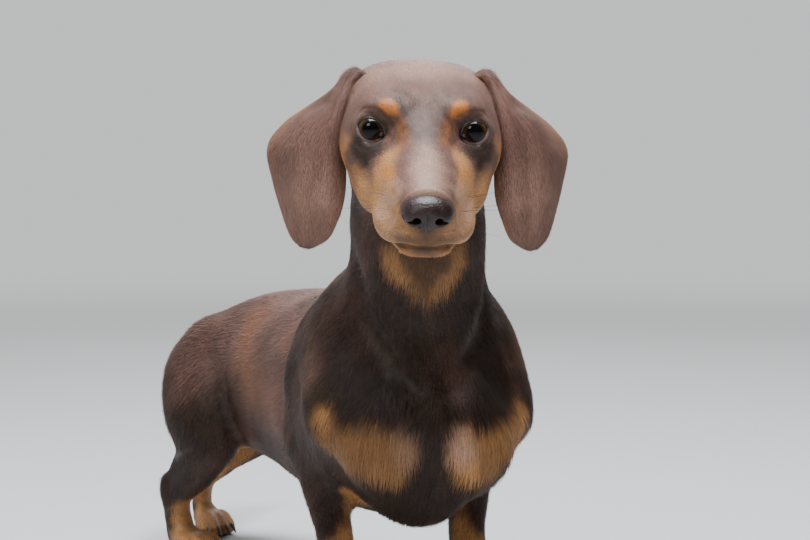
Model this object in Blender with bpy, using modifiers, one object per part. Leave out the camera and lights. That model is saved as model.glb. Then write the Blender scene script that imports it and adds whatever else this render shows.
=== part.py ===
"""A smooth-haired miniature dachshund at life size, standing with its head turned towards the viewer.

The dog faces -Y, its left side is +X and it stands on z = 0. Its form is a field of distances, in
millimetres, made of lofted sections, limbs that taper along smooth lines and egg-shaped muscles,
blended where they meet. The field is turned into one closed surface, thinned, set in metres, and
parted by thin cuts at the neck, joints and paws. Ears, eyes, nose and claws are pieces of their own.
"""
import math

import bmesh
import bpy
import numpy as np
import openvdb
from mathutils import Matrix, Vector

MM = 0.001
GAP = 0.3               # between pieces that touch
HANDS = ((-1, "right"), (1, "left"))
FAR = 60.0              # the field is not followed further out than this
GRID_BODY = 3.2         # spacing of the field's grid lines on the trunk
GRID_FINE = 1.9         # and on the head and paws
GRID_TAIL = 2.5         # and on the tail
BODY_TRIANGLES = 3800   # left after thinning

# Pose
EYE_LINE = np.array([-39.3, -97.5, 258.0])  # midway between the eyes
HEAD_YAW, HEAD_PITCH, HEAD_ROLL = -22.5, -26.0, -1.6
BEND_MID = 95.0         # where the spine runs straight back
BEND_FRONT, BEND_REAR = 0.00075, 0.0019     # how the spine curves to the dog's right from there
HIND_STEP = {-1: -5.0, 1: 54.0}             # how far each hind foot is set back, right and left

HIP_HEIGHT, ANKLE_HEIGHT = 125.0, 20.0

# Head, in its own frame: side, forward, up from the eye line
EYE_SPACING, EYE_FORWARD, EYE_UP, EYE_RADIUS = 25.7, -1.5, -2.4, 9.4
EYE_GAZE = (0.05, 0.9, 0.43)            # the left eye looks this way, and its socket opens there
NOSE_CENTRE, NOSE_RADII = (0.0, 66.5, -12.5), (13.4, 10.5, 8.2)
HEAD_SECTIONS = [
    # forward, widest at, half width, top, bottom, roundness above and below
    (-70, 0, 20, 5, -20, 2.0, 2.0),
    (-58, 0, 31, 12, -32, 2.2, 2.0),
    (-44, -1, 36.5, 17, -40, 2.5, 2.0),
    (-30, -4, 39, 18.5, -44, 2.7, 2.0),
    (-15, -8, 39.5, 18.5, -45, 2.7, 2.2),
    (-4, -13, 38, 16.5, -44, 2.5, 2.5),
    (6, -19, 34.5, 12.5, -42, 2.1, 2.8),
    (16, -22, 30.5, 9, -39.5, 1.9, 2.8),
    (27, -23, 27, 6, -37.5, 1.9, 2.6),
    (40, -24, 24, 3.5, -35.5, 2.0, 2.5),
    (53, -24, 20, 1.5, -34.5, 2.1, 2.4),
    (63, -23, 16, -1.5, -33.5, 2.2, 2.4),
]
HEAD_MUSCLES = [
    # centre, radii and the width over which it runs into the head
    ((29.3, -13, -15), (11.3, 26, 12.5), 10),   # cheekbone
    ((25, -28, -25), (12, 20, 18), 10),     # cheek
    ((22.5, 10, -29), (11, 23, 11), 8),     # chewing muscle, down to the lips
    ((18.5, -3, 9.5), (11, 9, 5.5), 9),     # brow
    ((15.5, 45, -28.5), (10.3, 21, 9), 6),  # upper lip
]
OPENING_AHEAD, OPENING_RADIUS = 5.0, 7.2    # of the socket, along the gaze
HOLLOW, HOLLOW_RADII = (22.5, 20, 6), (7, 13, 7)    # between the eye and the bridge of the muzzle
JAW_SECTIONS = [
    (-5, -30, 27, -22, -43, 2.0, 2.0),
    (20, -33, 22, -26, -43.5, 2.0, 2.2),
    (40, -36, 18.5, -30, -43.5, 2.0, 2.2),
    (52, -37, 16.5, -31, -43, 2.0, 2.2),
    (60, -37, 13.5, -32, -41.5, 2.0, 2.2),
]

# Trunk, along the spine
TRUNK_SECTIONS = [
    (-62, 103, 32, 138, 72, 2.2, 2.0),
    (-42, 106, 45, 158, 58, 2.2, 2.0),
    (-20, 110, 52, 170, 51, 2.1, 2.0),
    (5, 112, 55, 173, 46, 2.0, 2.0),
    (30, 110, 56, 170.5, 45, 2.1, 2.0),
    (60, 109, 56, 168, 46, 2.2, 2.1),
    (90, 110, 54, 166.5, 48, 2.2, 2.1),
    (115, 112, 51, 165, 52, 2.2, 2.1),
    (140, 114, 47, 163.5, 57, 2.2, 2.1),
    (165, 115, 43, 160.5, 62, 2.2, 2.1),
    (190, 115, 39, 154, 70, 2.1, 2.1),
    (208, 116, 34, 146, 82, 2.0, 2.0),
    (220, 117, 26, 138, 94, 2.0, 2.0),
]

# Limbs: x, y, z, half width, then the reach to each side of the line in its own plane
NECK_LINE = [(-8, 4, 128, 46, 50, 46), (-11, -26, 158, 40, 46, 44), (-16, -42, 186, 36, 39, 39),
             (-20.6, -52, 212, 35.5, 35, 38), (-23.6, -58, 236, 33.2, 31, 35), (-22, -57, 256, 27, 24, 31)]
TAIL_LINE = [(-27, 204, 127, 12, 12, 12), (-33, 228, 122, 11, 11, 11), (-29, 252, 110, 10, 10, 10),
             (-17, 276, 97, 9, 9, 9), (-2, 300, 86, 8, 8, 8), (16, 324, 78, 7, 7, 7),
             (34, 346, 74, 6, 6, 6), (52, 366, 74, 4.8, 4.8, 4.8), (67, 382, 78, 3.2, 3.2, 3.2)]
SHOULDER_LINE = [(24, 4, 160, 12, 14, 16), (40, -14, 143, 16, 18, 22), (45, -32, 120, 17, 18, 20),
                 (44, -40, 104, 16, 14, 16)]
UPPER_ARM_LINE = [(42, -38, 104, 16, 15, 16), (43, -18, 100, 15, 17, 18), (44, 2, 94, 13.5, 15, 17),
                  (44.5, 18, 87, 12, 13, 13)]
TRICEPS_LINE = [(36, 10, 144, 14, 16, 18), (42.5, 12, 120, 15, 21, 20), (45, 20, 95, 11, 13, 12)]
FOREARM_LINE = [(45, 16, 88, 13, 13, 13), (44, 10, 74, 12.5, 14, 13), (41, 4, 56, 11.5, 11.5, 11),
                (38, -1, 40, 10.6, 10.3, 10), (37.5, -5, 26, 10.5, 10, 9.5), (39, -9, 17, 11.5, 9, 9)]
THIGH_LINE = [(20, 198, 124, 14, 18, 20), (33, 200, 108, 17, 27, 26), (38, 196, 86, 18, 26, 26),
              (37, 191, 71, 12, 19, 22)]
SHANK_LINE = [(37, 187, 75, 13, 17, 20), (36, 203, 57, 11.5, 18, 16), (33, 219, 44, 9.2, 13, 12),
              (31.5, 227, 38, 8, 9.5, 9.5)]
HOCK_LINE = [(31.5, 229, 44, 7, 7.5, 8), (31, 227.5, 34, 7.6, 9, 8), (31, 225, 20, 8.4, 9, 8),
             (31.5, 223, 14, 9.5, 8.5, 8.5)]
BREAST, BREAST_RADII = (23, -58, 92), (24, 19, 27)
BREASTBONE, BREASTBONE_RADII = (0, -72, 106), (15, 12, 14)
KEEL, KEEL_RADII = (0, -38, 70), (27, 30, 25)     # of the chest, down between the fore legs
BUTTOCK, BUTTOCK_RADII = (19, 204, 110), (18, 23, 30)


class Paw:
    """A foot: where its ankle stands, how far it turns out, and its four toes."""

    def __init__(self, ankle, turn_out, spread, reach, toe, pad):
        self.ankle, self.turn_out = np.array(ankle, float), math.radians(turn_out)
        self.spread, self.reach, self.toe, self.pad = spread, reach, toe, pad

    def place(self, side, forward, up):
        """A point of the right-handed foot, in the straightened body."""
        c, s = math.cos(self.turn_out), math.sin(self.turn_out)
        across, back = side * c + forward * s, side * s - forward * c
        return np.array([self.ankle[0] + across, self.ankle[1] + back, up])

    def toes(self):
        """Each toe's offset to the side and how far forward it reaches."""
        for step, share in ((-1.5, 0.82), (-0.5, 1.0), (0.5, 1.0), (1.5, 0.84)):
            yield step * self.spread, self.reach * share

    def field(self, q):
        """Distance to the foot."""
        radii = (1.75 * self.spread, 0.45 * self.reach, 8.5)
        d = blob(q, self.place(0, 0.35 * self.reach, 0.9 * self.toe), radii)
        d = smin(d, blob(q, self.place(0, 0.42 * self.reach, 4.5), (1.4 * self.spread, self.pad, 5.2)), 3)
        for offset, reach in self.toes():
            rows = [(*self.place(0.6 * offset, 0.2 * reach, 1.9 * self.toe), *(0.85 * self.toe,) * 3),
                    (*self.place(0.92 * offset, 0.66 * reach, 1.75 * self.toe), *(0.9 * self.toe,) * 3),
                    (*self.place(1.04 * offset, 0.97 * reach, 0.95 * self.toe), *(0.98 * self.toe,) * 3)]
            d = smin(d, Tube(rows)(q), 2.2)
        return d

    def claws(self):
        """Where each claw leaves its toe, and the point it runs to."""
        for offset, reach in self.toes():
            root = self.place(1.04 * offset, 0.97 * reach + 0.55 * self.toe, 1.15 * self.toe)
            tip = self.place(1.07 * offset, 0.97 * reach + self.toe + 5.2, 2.2)
            yield root, tip


FORE_PAW = Paw((38.5, -8, 0), 6, 8.6, 27, 6.3, 9.5)
HIND_PAW = Paw((31.5, 222, 0), 5, 7.6, 23, 5.7, 8.5)
DEW_CLAW = ((27.5, -8, 29), (25.6, -14.5, 22.5))
CLAW_ROOT, CLAW_RADII = 1.5, (2.0, 0.5)     # how deep it starts in the toe; at its root and tip

# Ear: across, forward and up from the eye line, at the front edge, the middle and the rear edge
EAR_THICKNESS = 3.2
EAR_ROWS = [
    ((30.5, -25, 26), (34, -33, 28), (37.5, -40, 27)),
    ((35.5, -22.5, 18), (41.5, -31, 20.5), (46, -44, 17.5)),
    ((38, -22, 7), (48, -28, 11.5), (57, -50, 10.5)),
    ((38.5, -23, -5), (54.5, -26, 1), (71, -56, -0.5)),
    ((38.5, -24, -20), (58.5, -24, -12.5), (78, -53, -12)),
    ((39, -21, -35), (59, -22, -27.5), (75, -46, -29)),
    ((42, -16, -47), (60, -21, -41), (70.5, -36, -44)),
    ((46.8, -19, -57), (58.5, -21, -56), (66.5, -28, -55)),
    ((54.5, -24, -62), (57.5, -25, -63), (61.5, -26, -62)),
]

# Thin cuts: a corner, the next corner along and the next corner up
CUTS_OF_HEAD = {
    "neck_top": ((-62, 16, -51), (62, 16, -51), (-62, -84, -21)),
    "mouth": ((-45, 14, -34.3), (45, 14, -34.3), (-45, 82, -34.3)),
    "jaw": ((-45, 14, -34.3), (45, 14, -34.3), (-45, 14, -60)),
}
CUTS_OF_TRUNK = {
    "ribs": ((-75, 98, 30), (75, 98, 30), (-75, 98, 182)),
    "loin": ((-75, 163, 40), (75, 163, 40), (-75, 163, 176)),
}
CUTS_IN_PLACE = {
    "neck_base": ((-80, -92, 123), (62, -92, 123), (-80, 36, 200)),
    "tail": ((-45.9, 251.4, 92.5), (-12.9, 243.2, 92.5), (-42.1, 266.8, 122.5)),
}
CUTS_OF_FORE_LEG = {
    "shoulder": ((23.5, -85, 42), (23.5, 42, 42), (58, -85, 170)),
    "shoulder_back": ((23, 35.5, 42), (80, 35.5, 42), (57, 35.5, 170)),
    "elbow": ((29.5, -78, 66), (29.5, 40, 71), (72, -78, 66)),
    "wrist": ((22, -24, 27), (22, 10, 29), (54, -24, 27)),
}
CUTS_OF_HIND_LEG = {
    "knee": ((13, 170, 44.5), (66, 170, 44.5), (13, 249, 106)),
    "ankle": ((16, 205, 23), (16, 245, 23), (48, 205, 23)),
}
CUT_OF_HIP = ((9, 162, 44), (9, 242, 44), (31, 162, 160))

# The middle of each fleshy part, by which it gets its name
MIDDLES_OF_HEAD = {"head": (0, -8, -8), "lower_jaw": (0, 38, -39)}
MIDDLES_OF_TRUNK = {"chest": (0, 15, 112), "abdomen": (0, 130, 112), "rump": (0, 188, 120)}
MIDDLES_IN_PLACE = {"neck": (-18, -45, 195), "tail": (8, 310, 90)}
MIDDLES_OF_FORE_LEG = {"upper_arm": (52, -8, 112), "forearm": (41, 4, 52), "fore_paw": (40, -20, 12)}
MIDDLES_OF_HIND_LEG = {"thigh": (36, 197, 95), "hock": (33, 215, 47), "hind_paw": (33, 212, 11)}

# Colours
COAT, TAN, LEATHER = (0.07, 0.034, 0.025), (0.36, 0.17, 0.08), (0.1, 0.05, 0.045)
HORN, EYE_BROWN = (0.06, 0.035, 0.025), (0.03, 0.02, 0.01)


# Field

def smin(a, b, k):
    """The nearer of two distances, rounded where they are alike."""
    h = np.clip(0.5 + 0.5 * (b - a) / k, 0, 1)
    return b + (a - b) * h - k * h * (1 - h)


def smooth_rows(rows, count):
    """Rows read at even steps along a smooth line through them."""
    v = np.asarray(rows, float)
    v = np.vstack([2 * v[0] - v[1], v, 2 * v[-1] - v[-2]])
    t = np.linspace(0, len(rows) - 1, count)
    i = np.minimum(t.astype(int), len(rows) - 2)
    u = (t - i)[:, None]
    a, b, c, d = v[i], v[i + 1], v[i + 2], v[i + 3]
    square, cube = 2 * a - 5 * b + 4 * c - d, 3 * b - a - 3 * c + d
    return 0.5 * (2 * b + (c - a) * u + square * u**2 + cube * u**3)


def section(side, up, along, half, top, bottom, round_top, round_bottom, end):
    """Distance to a rounded section with its own upper and lower half, closed by a dome."""
    b = np.where(up > 0, top, bottom)
    n = np.where(up > 0, round_top, round_bottom)
    level = (np.abs(side) / half) ** n + (np.abs(up) / b) ** n + (np.abs(along) / end) ** n
    level = np.maximum(level, 1e-9) ** (1 / n)
    out = np.sqrt(side**2 + up**2 + along**2)
    return np.where(level > 1e-3, out * (1 - 1 / np.maximum(level, 1e-3)), -np.minimum(half, b))


class Loft:
    """A form with sections across a straight line."""

    def __init__(self, rows, front_dome, back_dome):
        fine = smooth_rows(rows, 200)
        self.at, self.shape = fine[:, 0], fine[:, 1:]
        self.domes = front_dome, back_dome

    def __call__(self, side, along, up):
        at = np.clip(along, self.at[0], self.at[-1])
        middle, half, top, bottom, nt, nb = (np.interp(at, self.at, column) for column in self.shape.T)
        end = np.where(along < at, *self.domes)
        return section(side, up - middle, along - at, half, top - middle, middle - bottom, nt, nb, end)


class Tube:
    """A limb that tapers along a smooth line; its section is an egg with two halves."""

    def __init__(self, rows, samples=36, power=2.0):
        fine = smooth_rows(rows, samples)
        self.line, self.size, self.power = fine[:, :3], fine[:, 3:6], power
        along = np.gradient(self.line, axis=0)
        self.along = along / np.linalg.norm(along, axis=1)[:, None]
        side = np.array([1.0, 0, 0]) - self.along[:, :1] * self.along
        self.side = side / np.linalg.norm(side, axis=1)[:, None]
        self.face = np.cross(self.side, self.along)
        reach = self.size.max() + FAR / 2
        self.low, self.high = self.line.min(0) - reach, self.line.max(0) + reach

    def __call__(self, q):
        out = np.full(len(q), FAR)
        near = np.flatnonzero(np.all((q > self.low) & (q < self.high), axis=1))
        for part in np.array_split(near, max(1, len(near) // 40000)):
            if len(part):
                out[part] = self.close(q[part])
        return out

    def close(self, x):
        start, step = self.line[:-1], np.diff(self.line, axis=0)
        square = (step**2).sum(1)
        nearest = ((x[:, None] - self.line[None]) ** 2).sum(2).argmin(1)
        best = np.full(len(x), np.inf)
        span, share = np.zeros(len(x), int), np.zeros(len(x))
        for j in (np.clip(nearest - 1, 0, len(start) - 1), np.clip(nearest, 0, len(start) - 1)):
            t = np.clip(((x - start[j]) * step[j]).sum(1) / square[j], 0, 1)
            d = ((x - start[j] - t[:, None] * step[j]) ** 2).sum(1)
            closer = d < best
            best, span = np.where(closer, d, best), np.where(closer, j, span)
            share = np.where(closer, t, share)
        t = share[:, None]

        def read(values):
            return values[span] * (1 - t) + values[span + 1] * t

        size, away = read(self.size), x - read(self.line)
        side, up, along = ((away * read(axis)).sum(1) for axis in (self.side, self.face, self.along))
        first, last = (span == 0) & (share <= 0), (span == len(start) - 1) & (share >= 1)
        ends = [max(self.size[i, :2].min(), 0.1) for i in (0, -1)]
        return section(side, up, np.where(first | last, along, 0.0), size[:, 0], size[:, 1], size[:, 2],
                       self.power, self.power, np.where(first, *ends))


def blob(q, centre, radii):
    """Distance to an egg-shaped muscle."""
    v, r = q - np.asarray(centre, float), np.asarray(radii, float)
    near = np.sqrt(((v / r) ** 2).sum(1))
    slope = np.maximum(np.sqrt(((v / r**2) ** 2).sum(1)), 1e-9)
    return np.where(slope > 1e-8, near * (near - 1) / slope, -r.min())


def frame(yaw, pitch, roll):
    """Columns side, forward and up of something that faces -Y before it is turned."""
    y, p, r = (math.radians(v) for v in (yaw, pitch, roll))
    forward = np.array([math.sin(y) * math.cos(p), -math.cos(y) * math.cos(p), math.sin(p)])
    side = np.array([math.cos(y), math.sin(y), 0.0])
    up = np.cross(forward, side)
    up = up if up[2] > 0 else -up
    leaned = side * math.cos(r) + up * math.sin(r), up * math.cos(r) - side * math.sin(r)
    return np.array([leaned[0], forward, leaned[1]]).T


HEAD_FRAME = frame(HEAD_YAW, HEAD_PITCH, HEAD_ROLL)
EAR_FRAME = frame(HEAD_YAW, 0, 0.4 * HEAD_ROLL)


def spine(y):
    """Sideways place and slope of the spine."""
    rate = np.where(y < BEND_MID, BEND_FRONT, BEND_REAR)
    return -rate * (y - BEND_MID) ** 2, -2 * rate * (y - BEND_MID)


def straighten(q):
    """Places read along the bent spine."""
    y = q[:, 1].copy()
    for _ in range(4):
        middle, slope = spine(np.clip(y, -75, 235))
        y = q[:, 1] + slope * (q[:, 0] - middle)
    return np.stack([(q[:, 0] - middle) * np.sqrt(1 + slope**2), y, q[:, 2]], 1)


def bent(point):
    """The straightened body's point in its place along the bent spine."""
    x, y, z = point
    middle, slope = (float(v) for v in spine(np.clip(y, -75, 235)))
    across = x / math.sqrt(1 + slope**2)
    return np.array([middle + across, y - slope * across, z])


def swung(z):
    """The share of a hind leg's step at a height."""
    return np.clip((HIP_HEIGHT - z) / (HIP_HEIGHT - ANKLE_HEIGHT), 0, 1)


def stepped(q, side):
    """The straightened body with one hind leg swung back about its hip."""
    swing = HIND_STEP[side] * swung(q[:, 2])
    return q - np.stack([np.zeros(len(q)), swing, np.zeros(len(q))], 1)


TRUNK = Loft(TRUNK_SECTIONS, front_dome=16, back_dome=8)
HEAD = Loft(HEAD_SECTIONS, front_dome=9, back_dome=7)
JAW = Loft(JAW_SECTIONS, front_dome=10, back_dome=6)
NECK = Tube(NECK_LINE, power=2.1)
TAIL = Tube(TAIL_LINE, samples=60)
# Each stretch of a leg with the width over which it runs into the one before
FORE_LIMB = [(Tube(SHOULDER_LINE), 0), (Tube(UPPER_ARM_LINE), 14), (Tube(TRICEPS_LINE), 12),
             (Tube(FOREARM_LINE), 10)]
HIND_LIMB = [(Tube(THIGH_LINE), 0), (Tube(SHANK_LINE), 10), (Tube(HOCK_LINE), 6)]


def limb(q, tubes, paw):
    """Distance to a whole leg."""
    d = None
    for tube, k in tubes:
        d = tube(q) if d is None else smin(d, tube(q), k)
    return smin(d, paw.field(q), 5)


def head_field(p):
    """Distance to the head, in its own frame."""
    d = HEAD(p[:, 0], p[:, 1], p[:, 2])
    for side in (-1, 1):
        q = p * np.array([side, 1, 1])
        for centre, radii, width in HEAD_MUSCLES:
            d = smin(d, blob(q, centre, radii), width)
        d = -smin(-d, blob(q, HOLLOW, HOLLOW_RADII), 9)
        opening = np.array([EYE_SPACING, EYE_FORWARD, EYE_UP]) + OPENING_AHEAD * np.array(EYE_GAZE)
        d = -smin(-d, np.linalg.norm(q - opening, axis=1) - OPENING_RADIUS, 4)
    return smin(d, JAW(p[:, 0], p[:, 1], p[:, 2]), 3)


def dog_field(q):
    """Distance to the dog without its ears, eyes, nose leather and claws."""
    p = straighten(q)
    out = np.full(len(q), FAR)
    low = q[:, 2] < 220
    t = p[low]
    d = TRUNK(t[:, 0], t[:, 1], t[:, 2])
    d = smin(d, blob(t, BREASTBONE, BREASTBONE_RADII), 12)
    d = smin(d, blob(t, KEEL, KEEL_RADII), 16)
    for side in (-1, 1):
        m = t * np.array([side, 1, 1])
        d = smin(d, blob(m, BREAST, BREAST_RADII), 16)
        d = smin(d, limb(m, FORE_LIMB, FORE_PAW), 14)
        d = smin(d, blob(m, BUTTOCK, BUTTOCK_RADII), 14)
        d = smin(d, limb(stepped(m, side), HIND_LIMB, HIND_PAW), 15)
    out[low] = d
    out = smin(out, NECK(q), 26)
    out = smin(out, TAIL(q), 8)
    away = q - EYE_LINE
    near = np.linalg.norm(away, axis=1) < 150
    h = np.full(len(q), FAR)
    h[near] = head_field(away[near] @ HEAD_FRAME)
    return smin(out, h, 14)


# Meshes

def grid_lines(*stretches):
    """Grid lines through stretches of (from, to, spacing)."""
    lines = [np.linspace(a, b, max(2, round((b - a) / step) + 1))[:-1] for a, b, step in stretches]
    return np.concatenate(lines + [[stretches[-1][1]]])


def all_of(runs):
    """Every place at which one value of each run is met, one a row."""
    return np.stack(np.meshgrid(*runs, indexing="ij"), -1).reshape(-1, 3)


def sampled(field, axes, block=8):
    """The field on a grid; blocks well away from the surface are left at one value."""
    out = np.full([len(a) for a in axes], FAR, np.float32)
    starts = [np.arange(0, len(a), block) for a in axes]
    lows = [a[s] for a, s in zip(axes, starts)]
    highs = [a[np.minimum(s + block, len(a) - 1)] for a, s in zip(axes, starts)]
    middles = all_of([(l + h) / 2 for l, h in zip(lows, highs)])
    reach = np.linalg.norm(all_of([(h - l) / 2 for l, h in zip(lows, highs)]), axis=1) * 1.5 + 2
    first = all_of(starts)
    d = field(middles)
    for i, j, k in first[d < -reach]:
        out[i:i + block, j:j + block, k:k + block] = -FAR
    cells = []
    for corner in first[np.abs(d) <= reach]:
        runs = [np.arange(c, min(c + block, len(a))) for c, a in zip(corner, axes)]
        cells.append(all_of(runs))
    cells = np.vstack(cells)
    places = np.stack([a[cells[:, i]] for i, a in enumerate(axes)], 1)
    out[tuple(cells.T)] = field(places)
    return out


def polygonised(field, axes):
    """Points and faces of the field's surface."""
    grid = openvdb.FloatGrid(background=FAR)
    grid.copyFromArray(sampled(field, axes))
    points, quads = grid.convertToQuads(0.0)
    points = np.stack([np.interp(points[:, i], np.arange(len(a)), a) for i, a in enumerate(axes)], 1)
    return points, quads[:, ::-1]


def new_object(name, points, faces, collection):
    """A mesh object from points in millimetres."""
    mesh = bpy.data.meshes.new(name)
    mesh.from_pydata((np.asarray(points) * MM).tolist(), [], [list(map(int, f)) for f in faces])
    mesh.validate()
    thing = bpy.data.objects.new(name, mesh)
    collection.objects.link(thing)
    return thing


def applied(thing):
    """The object's modifiers worked into its mesh."""
    bpy.context.view_layer.update()
    mesh = bpy.data.meshes.new_from_object(thing.evaluated_get(bpy.context.evaluated_depsgraph_get()))
    thing.modifiers.clear()
    thing.data = mesh
    return thing


def boolean(thing, cutter, operation="DIFFERENCE"):
    """Cut or join with another object or a collection of them."""
    cut = thing.modifiers.new("cut", "BOOLEAN")
    cut.operation, cut.solver = operation, "EXACT"
    if isinstance(cutter, bpy.types.Collection):
        cut.operand_type, cut.collection = "COLLECTION", cutter
    else:
        cut.object = cutter
    return applied(thing)


def as_cutter(thing):
    """Mark a guide that is not part of the dog."""
    thing.hide_render, thing.display_type = True, "WIRE"
    return thing


def primitive(name, make, matrix, collection):
    """An object from one bmesh primitive, set in place in millimetres."""
    shape = bmesh.new()
    make(shape)
    bmesh.ops.transform(shape, matrix=Matrix.Scale(MM, 4) @ matrix, verts=shape.verts)
    bmesh.ops.recalc_face_normals(shape, faces=shape.faces)
    mesh = bpy.data.meshes.new(name)
    shape.to_mesh(mesh)
    shape.free()
    thing = bpy.data.objects.new(name, mesh)
    collection.objects.link(thing)
    return thing


def facing(direction):
    """A rotation whose Z runs along a direction."""
    return Vector(direction).to_track_quat("Z", "Y").to_matrix().to_4x4()


def head_point(*p):
    """A point of the head's frame in place."""
    return EYE_LINE + HEAD_FRAME @ np.array(p, float)


def body_mesh(collection):
    """The dog's flesh as one closed surface with flat soles on the floor."""
    axes = (grid_lines((-110, 25, GRID_FINE), (25, 100, GRID_BODY)),
            grid_lines((-205, -20, GRID_FINE), (-20, 180, GRID_BODY), (180, 400, GRID_TAIL)),
            grid_lines((-8, 34, GRID_FINE), (34, 200, GRID_BODY), (200, 304, GRID_FINE)))
    body = new_object("body", *polygonised(dog_field, axes), collection)
    thin = body.modifiers.new("thin", "DECIMATE")
    thin.ratio = BODY_TRIANGLES / (2 * len(body.data.polygons))
    applied(body)
    floor = primitive("floor", lambda b: bmesh.ops.create_cube(b, size=1),
                      Matrix.Translation((0, 100, -20)) @ Matrix.Diagonal((400, 800, 40, 1)), collection)
    boolean(body, floor)
    bpy.data.objects.remove(floor)
    return body


def ear_mesh(name, side, collection, rows=12, columns=6):
    """An ear: a leaf that curves across, given its thickness and rounded at the rim."""
    lines = smooth_rows(np.array(EAR_ROWS, float).reshape(-1, 9), rows).reshape(rows, 3, 3)
    t = np.linspace(0, 1, columns)[None, :, None]
    front, middle, rear = (lines[:, None, i] for i in range(3))
    pull = 2 * middle - 0.5 * (front + rear)
    leaf = front * (1 - t) ** 2 + 2 * pull * t * (1 - t) + rear * t**2
    points = (leaf.reshape(-1, 3) * (side, 1, 1)) @ EAR_FRAME.T + EYE_LINE
    faces = [(i * columns + j, i * columns + j + 1, (i + 1) * columns + j + 1, (i + 1) * columns + j)
             for i in range(rows - 1) for j in range(columns - 1)]
    ear = new_object(name, points, faces, collection)
    thick = ear.modifiers.new("thick", "SOLIDIFY")
    thick.thickness, thick.offset = EAR_THICKNESS * MM, 0
    round_rim = ear.modifiers.new("rim", "BEVEL")
    round_rim.width, round_rim.segments, round_rim.limit_method = 1.1 * MM, 1, "ANGLE"
    round_rim.angle_limit = math.radians(50)
    applied(ear)
    shape = bmesh.new()
    shape.from_mesh(ear.data)
    bmesh.ops.recalc_face_normals(shape, faces=shape.faces)
    shape.to_mesh(ear.data)
    shape.free()
    return ear


def ball(name, centre, radii, turned, collection, grow=0.0, segments=14):
    """An egg-shaped piece, or its socket when it is grown by the gap."""
    size = Matrix.Diagonal((*(r + grow for r in radii), 1))
    matrix = Matrix.Translation(Vector(centre)) @ Matrix(turned.tolist()).to_4x4() @ size

    def sphere(shape):
        bmesh.ops.create_uvsphere(shape, u_segments=segments, v_segments=segments // 2, radius=1)

    return primitive(name, sphere, matrix, collection)


def claw(name, root, tip, collection):
    """A short cone that starts inside its toe."""
    root, tip = Vector(root), Vector(tip)
    along = (tip - root).normalized()
    start = root - along * CLAW_ROOT
    matrix = Matrix.Translation((start + tip) / 2) @ facing(along)

    def cone(shape):
        bmesh.ops.create_cone(shape, cap_ends=True, segments=7, depth=(tip - start).length,
                              radius1=CLAW_RADII[0], radius2=CLAW_RADII[1])

    return primitive(name, cone, matrix, collection)


def material(name, colour, roughness):
    """A plain finish."""
    finish = bpy.data.materials.new(name)
    finish.use_nodes = True
    shader = finish.node_tree.nodes["Principled BSDF"]
    shader.inputs["Base Color"].default_value = (*colour, 1)
    shader.inputs["Roughness"].default_value = roughness
    shader.inputs["Metallic"].default_value = 0
    return finish


# The dog

def leg_point(side, x, y, z, hind=False):
    """A point of a right-handed leg in place."""
    swing = HIND_STEP[side] * float(swung(z)) if hind else 0
    return bent((side * x, y + swing, z))


def slab(name, corner, along, up, collection):
    """A cut as thin as the gap, between a corner and two points next to it."""
    corner, a, b = Vector(corner), Vector(along) - Vector(corner), Vector(up) - Vector(corner)
    normal = a.cross(b).normalized() * GAP
    matrix = Matrix((a, b, normal)).transposed().to_4x4()
    matrix.translation = corner + (a + b) / 2
    cut = primitive(name, lambda shape: bmesh.ops.create_cube(shape, size=1), matrix, collection)
    return as_cutter(cut)


def part_cuts(collection):
    """Every thin cut that parts the flesh."""
    for name, corners in CUTS_OF_HEAD.items():
        slab(f"cut_{name}", *(head_point(*p) for p in corners), collection)
    for name, corners in CUTS_OF_TRUNK.items():
        slab(f"cut_{name}", *(bent(p) for p in corners), collection)
    for name, corners in CUTS_IN_PLACE.items():
        slab(f"cut_{name}", *corners, collection)
    for side, hand in HANDS:
        for name, corners in CUTS_OF_FORE_LEG.items():
            slab(f"cut_{name}_{hand}", *(leg_point(side, *p) for p in corners), collection)
        for name, corners in CUTS_OF_HIND_LEG.items():
            slab(f"cut_{name}_{hand}", *(leg_point(side, *p, hind=True) for p in corners), collection)
        slab(f"cut_hip_{hand}", *(leg_point(side, *p) for p in CUT_OF_HIP), collection)


def part_places():
    """Where the middle of each fleshy part is, by name."""
    places = {name: head_point(*p) for name, p in MIDDLES_OF_HEAD.items()}
    places.update({name: bent(p) for name, p in MIDDLES_OF_TRUNK.items()})
    places.update(MIDDLES_IN_PLACE)
    for side, hand in HANDS:
        for name, p in MIDDLES_OF_FORE_LEG.items():
            places[f"{name}_{hand}"] = leg_point(side, *p)
        for name, p in MIDDLES_OF_HIND_LEG.items():
            places[f"{name}_{hand}"] = leg_point(side, *p, hind=True)
    return {name: Vector(place) * MM for name, place in places.items()}


def islands(thing):
    """The separate closed bodies of a mesh, as bmeshes, the largest first."""
    shape = bmesh.new()
    shape.from_mesh(thing.data)
    shape.verts.ensure_lookup_table()
    left, found = set(shape.verts), []
    while left:
        group, edge = set(), [left.pop()]
        while edge:
            vert = edge.pop()
            group.add(vert)
            near = {e.other_vert(vert) for e in vert.link_edges} & left
            left -= near
            edge.extend(near)
        piece = shape.copy()
        piece.verts.ensure_lookup_table()
        keep = {vert.index for vert in group}
        bmesh.ops.delete(piece, geom=[v for v in piece.verts if v.index not in keep], context="VERTS")
        found.append(piece)
    shape.free()
    return sorted(found, key=lambda piece: -piece.calc_volume())


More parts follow.
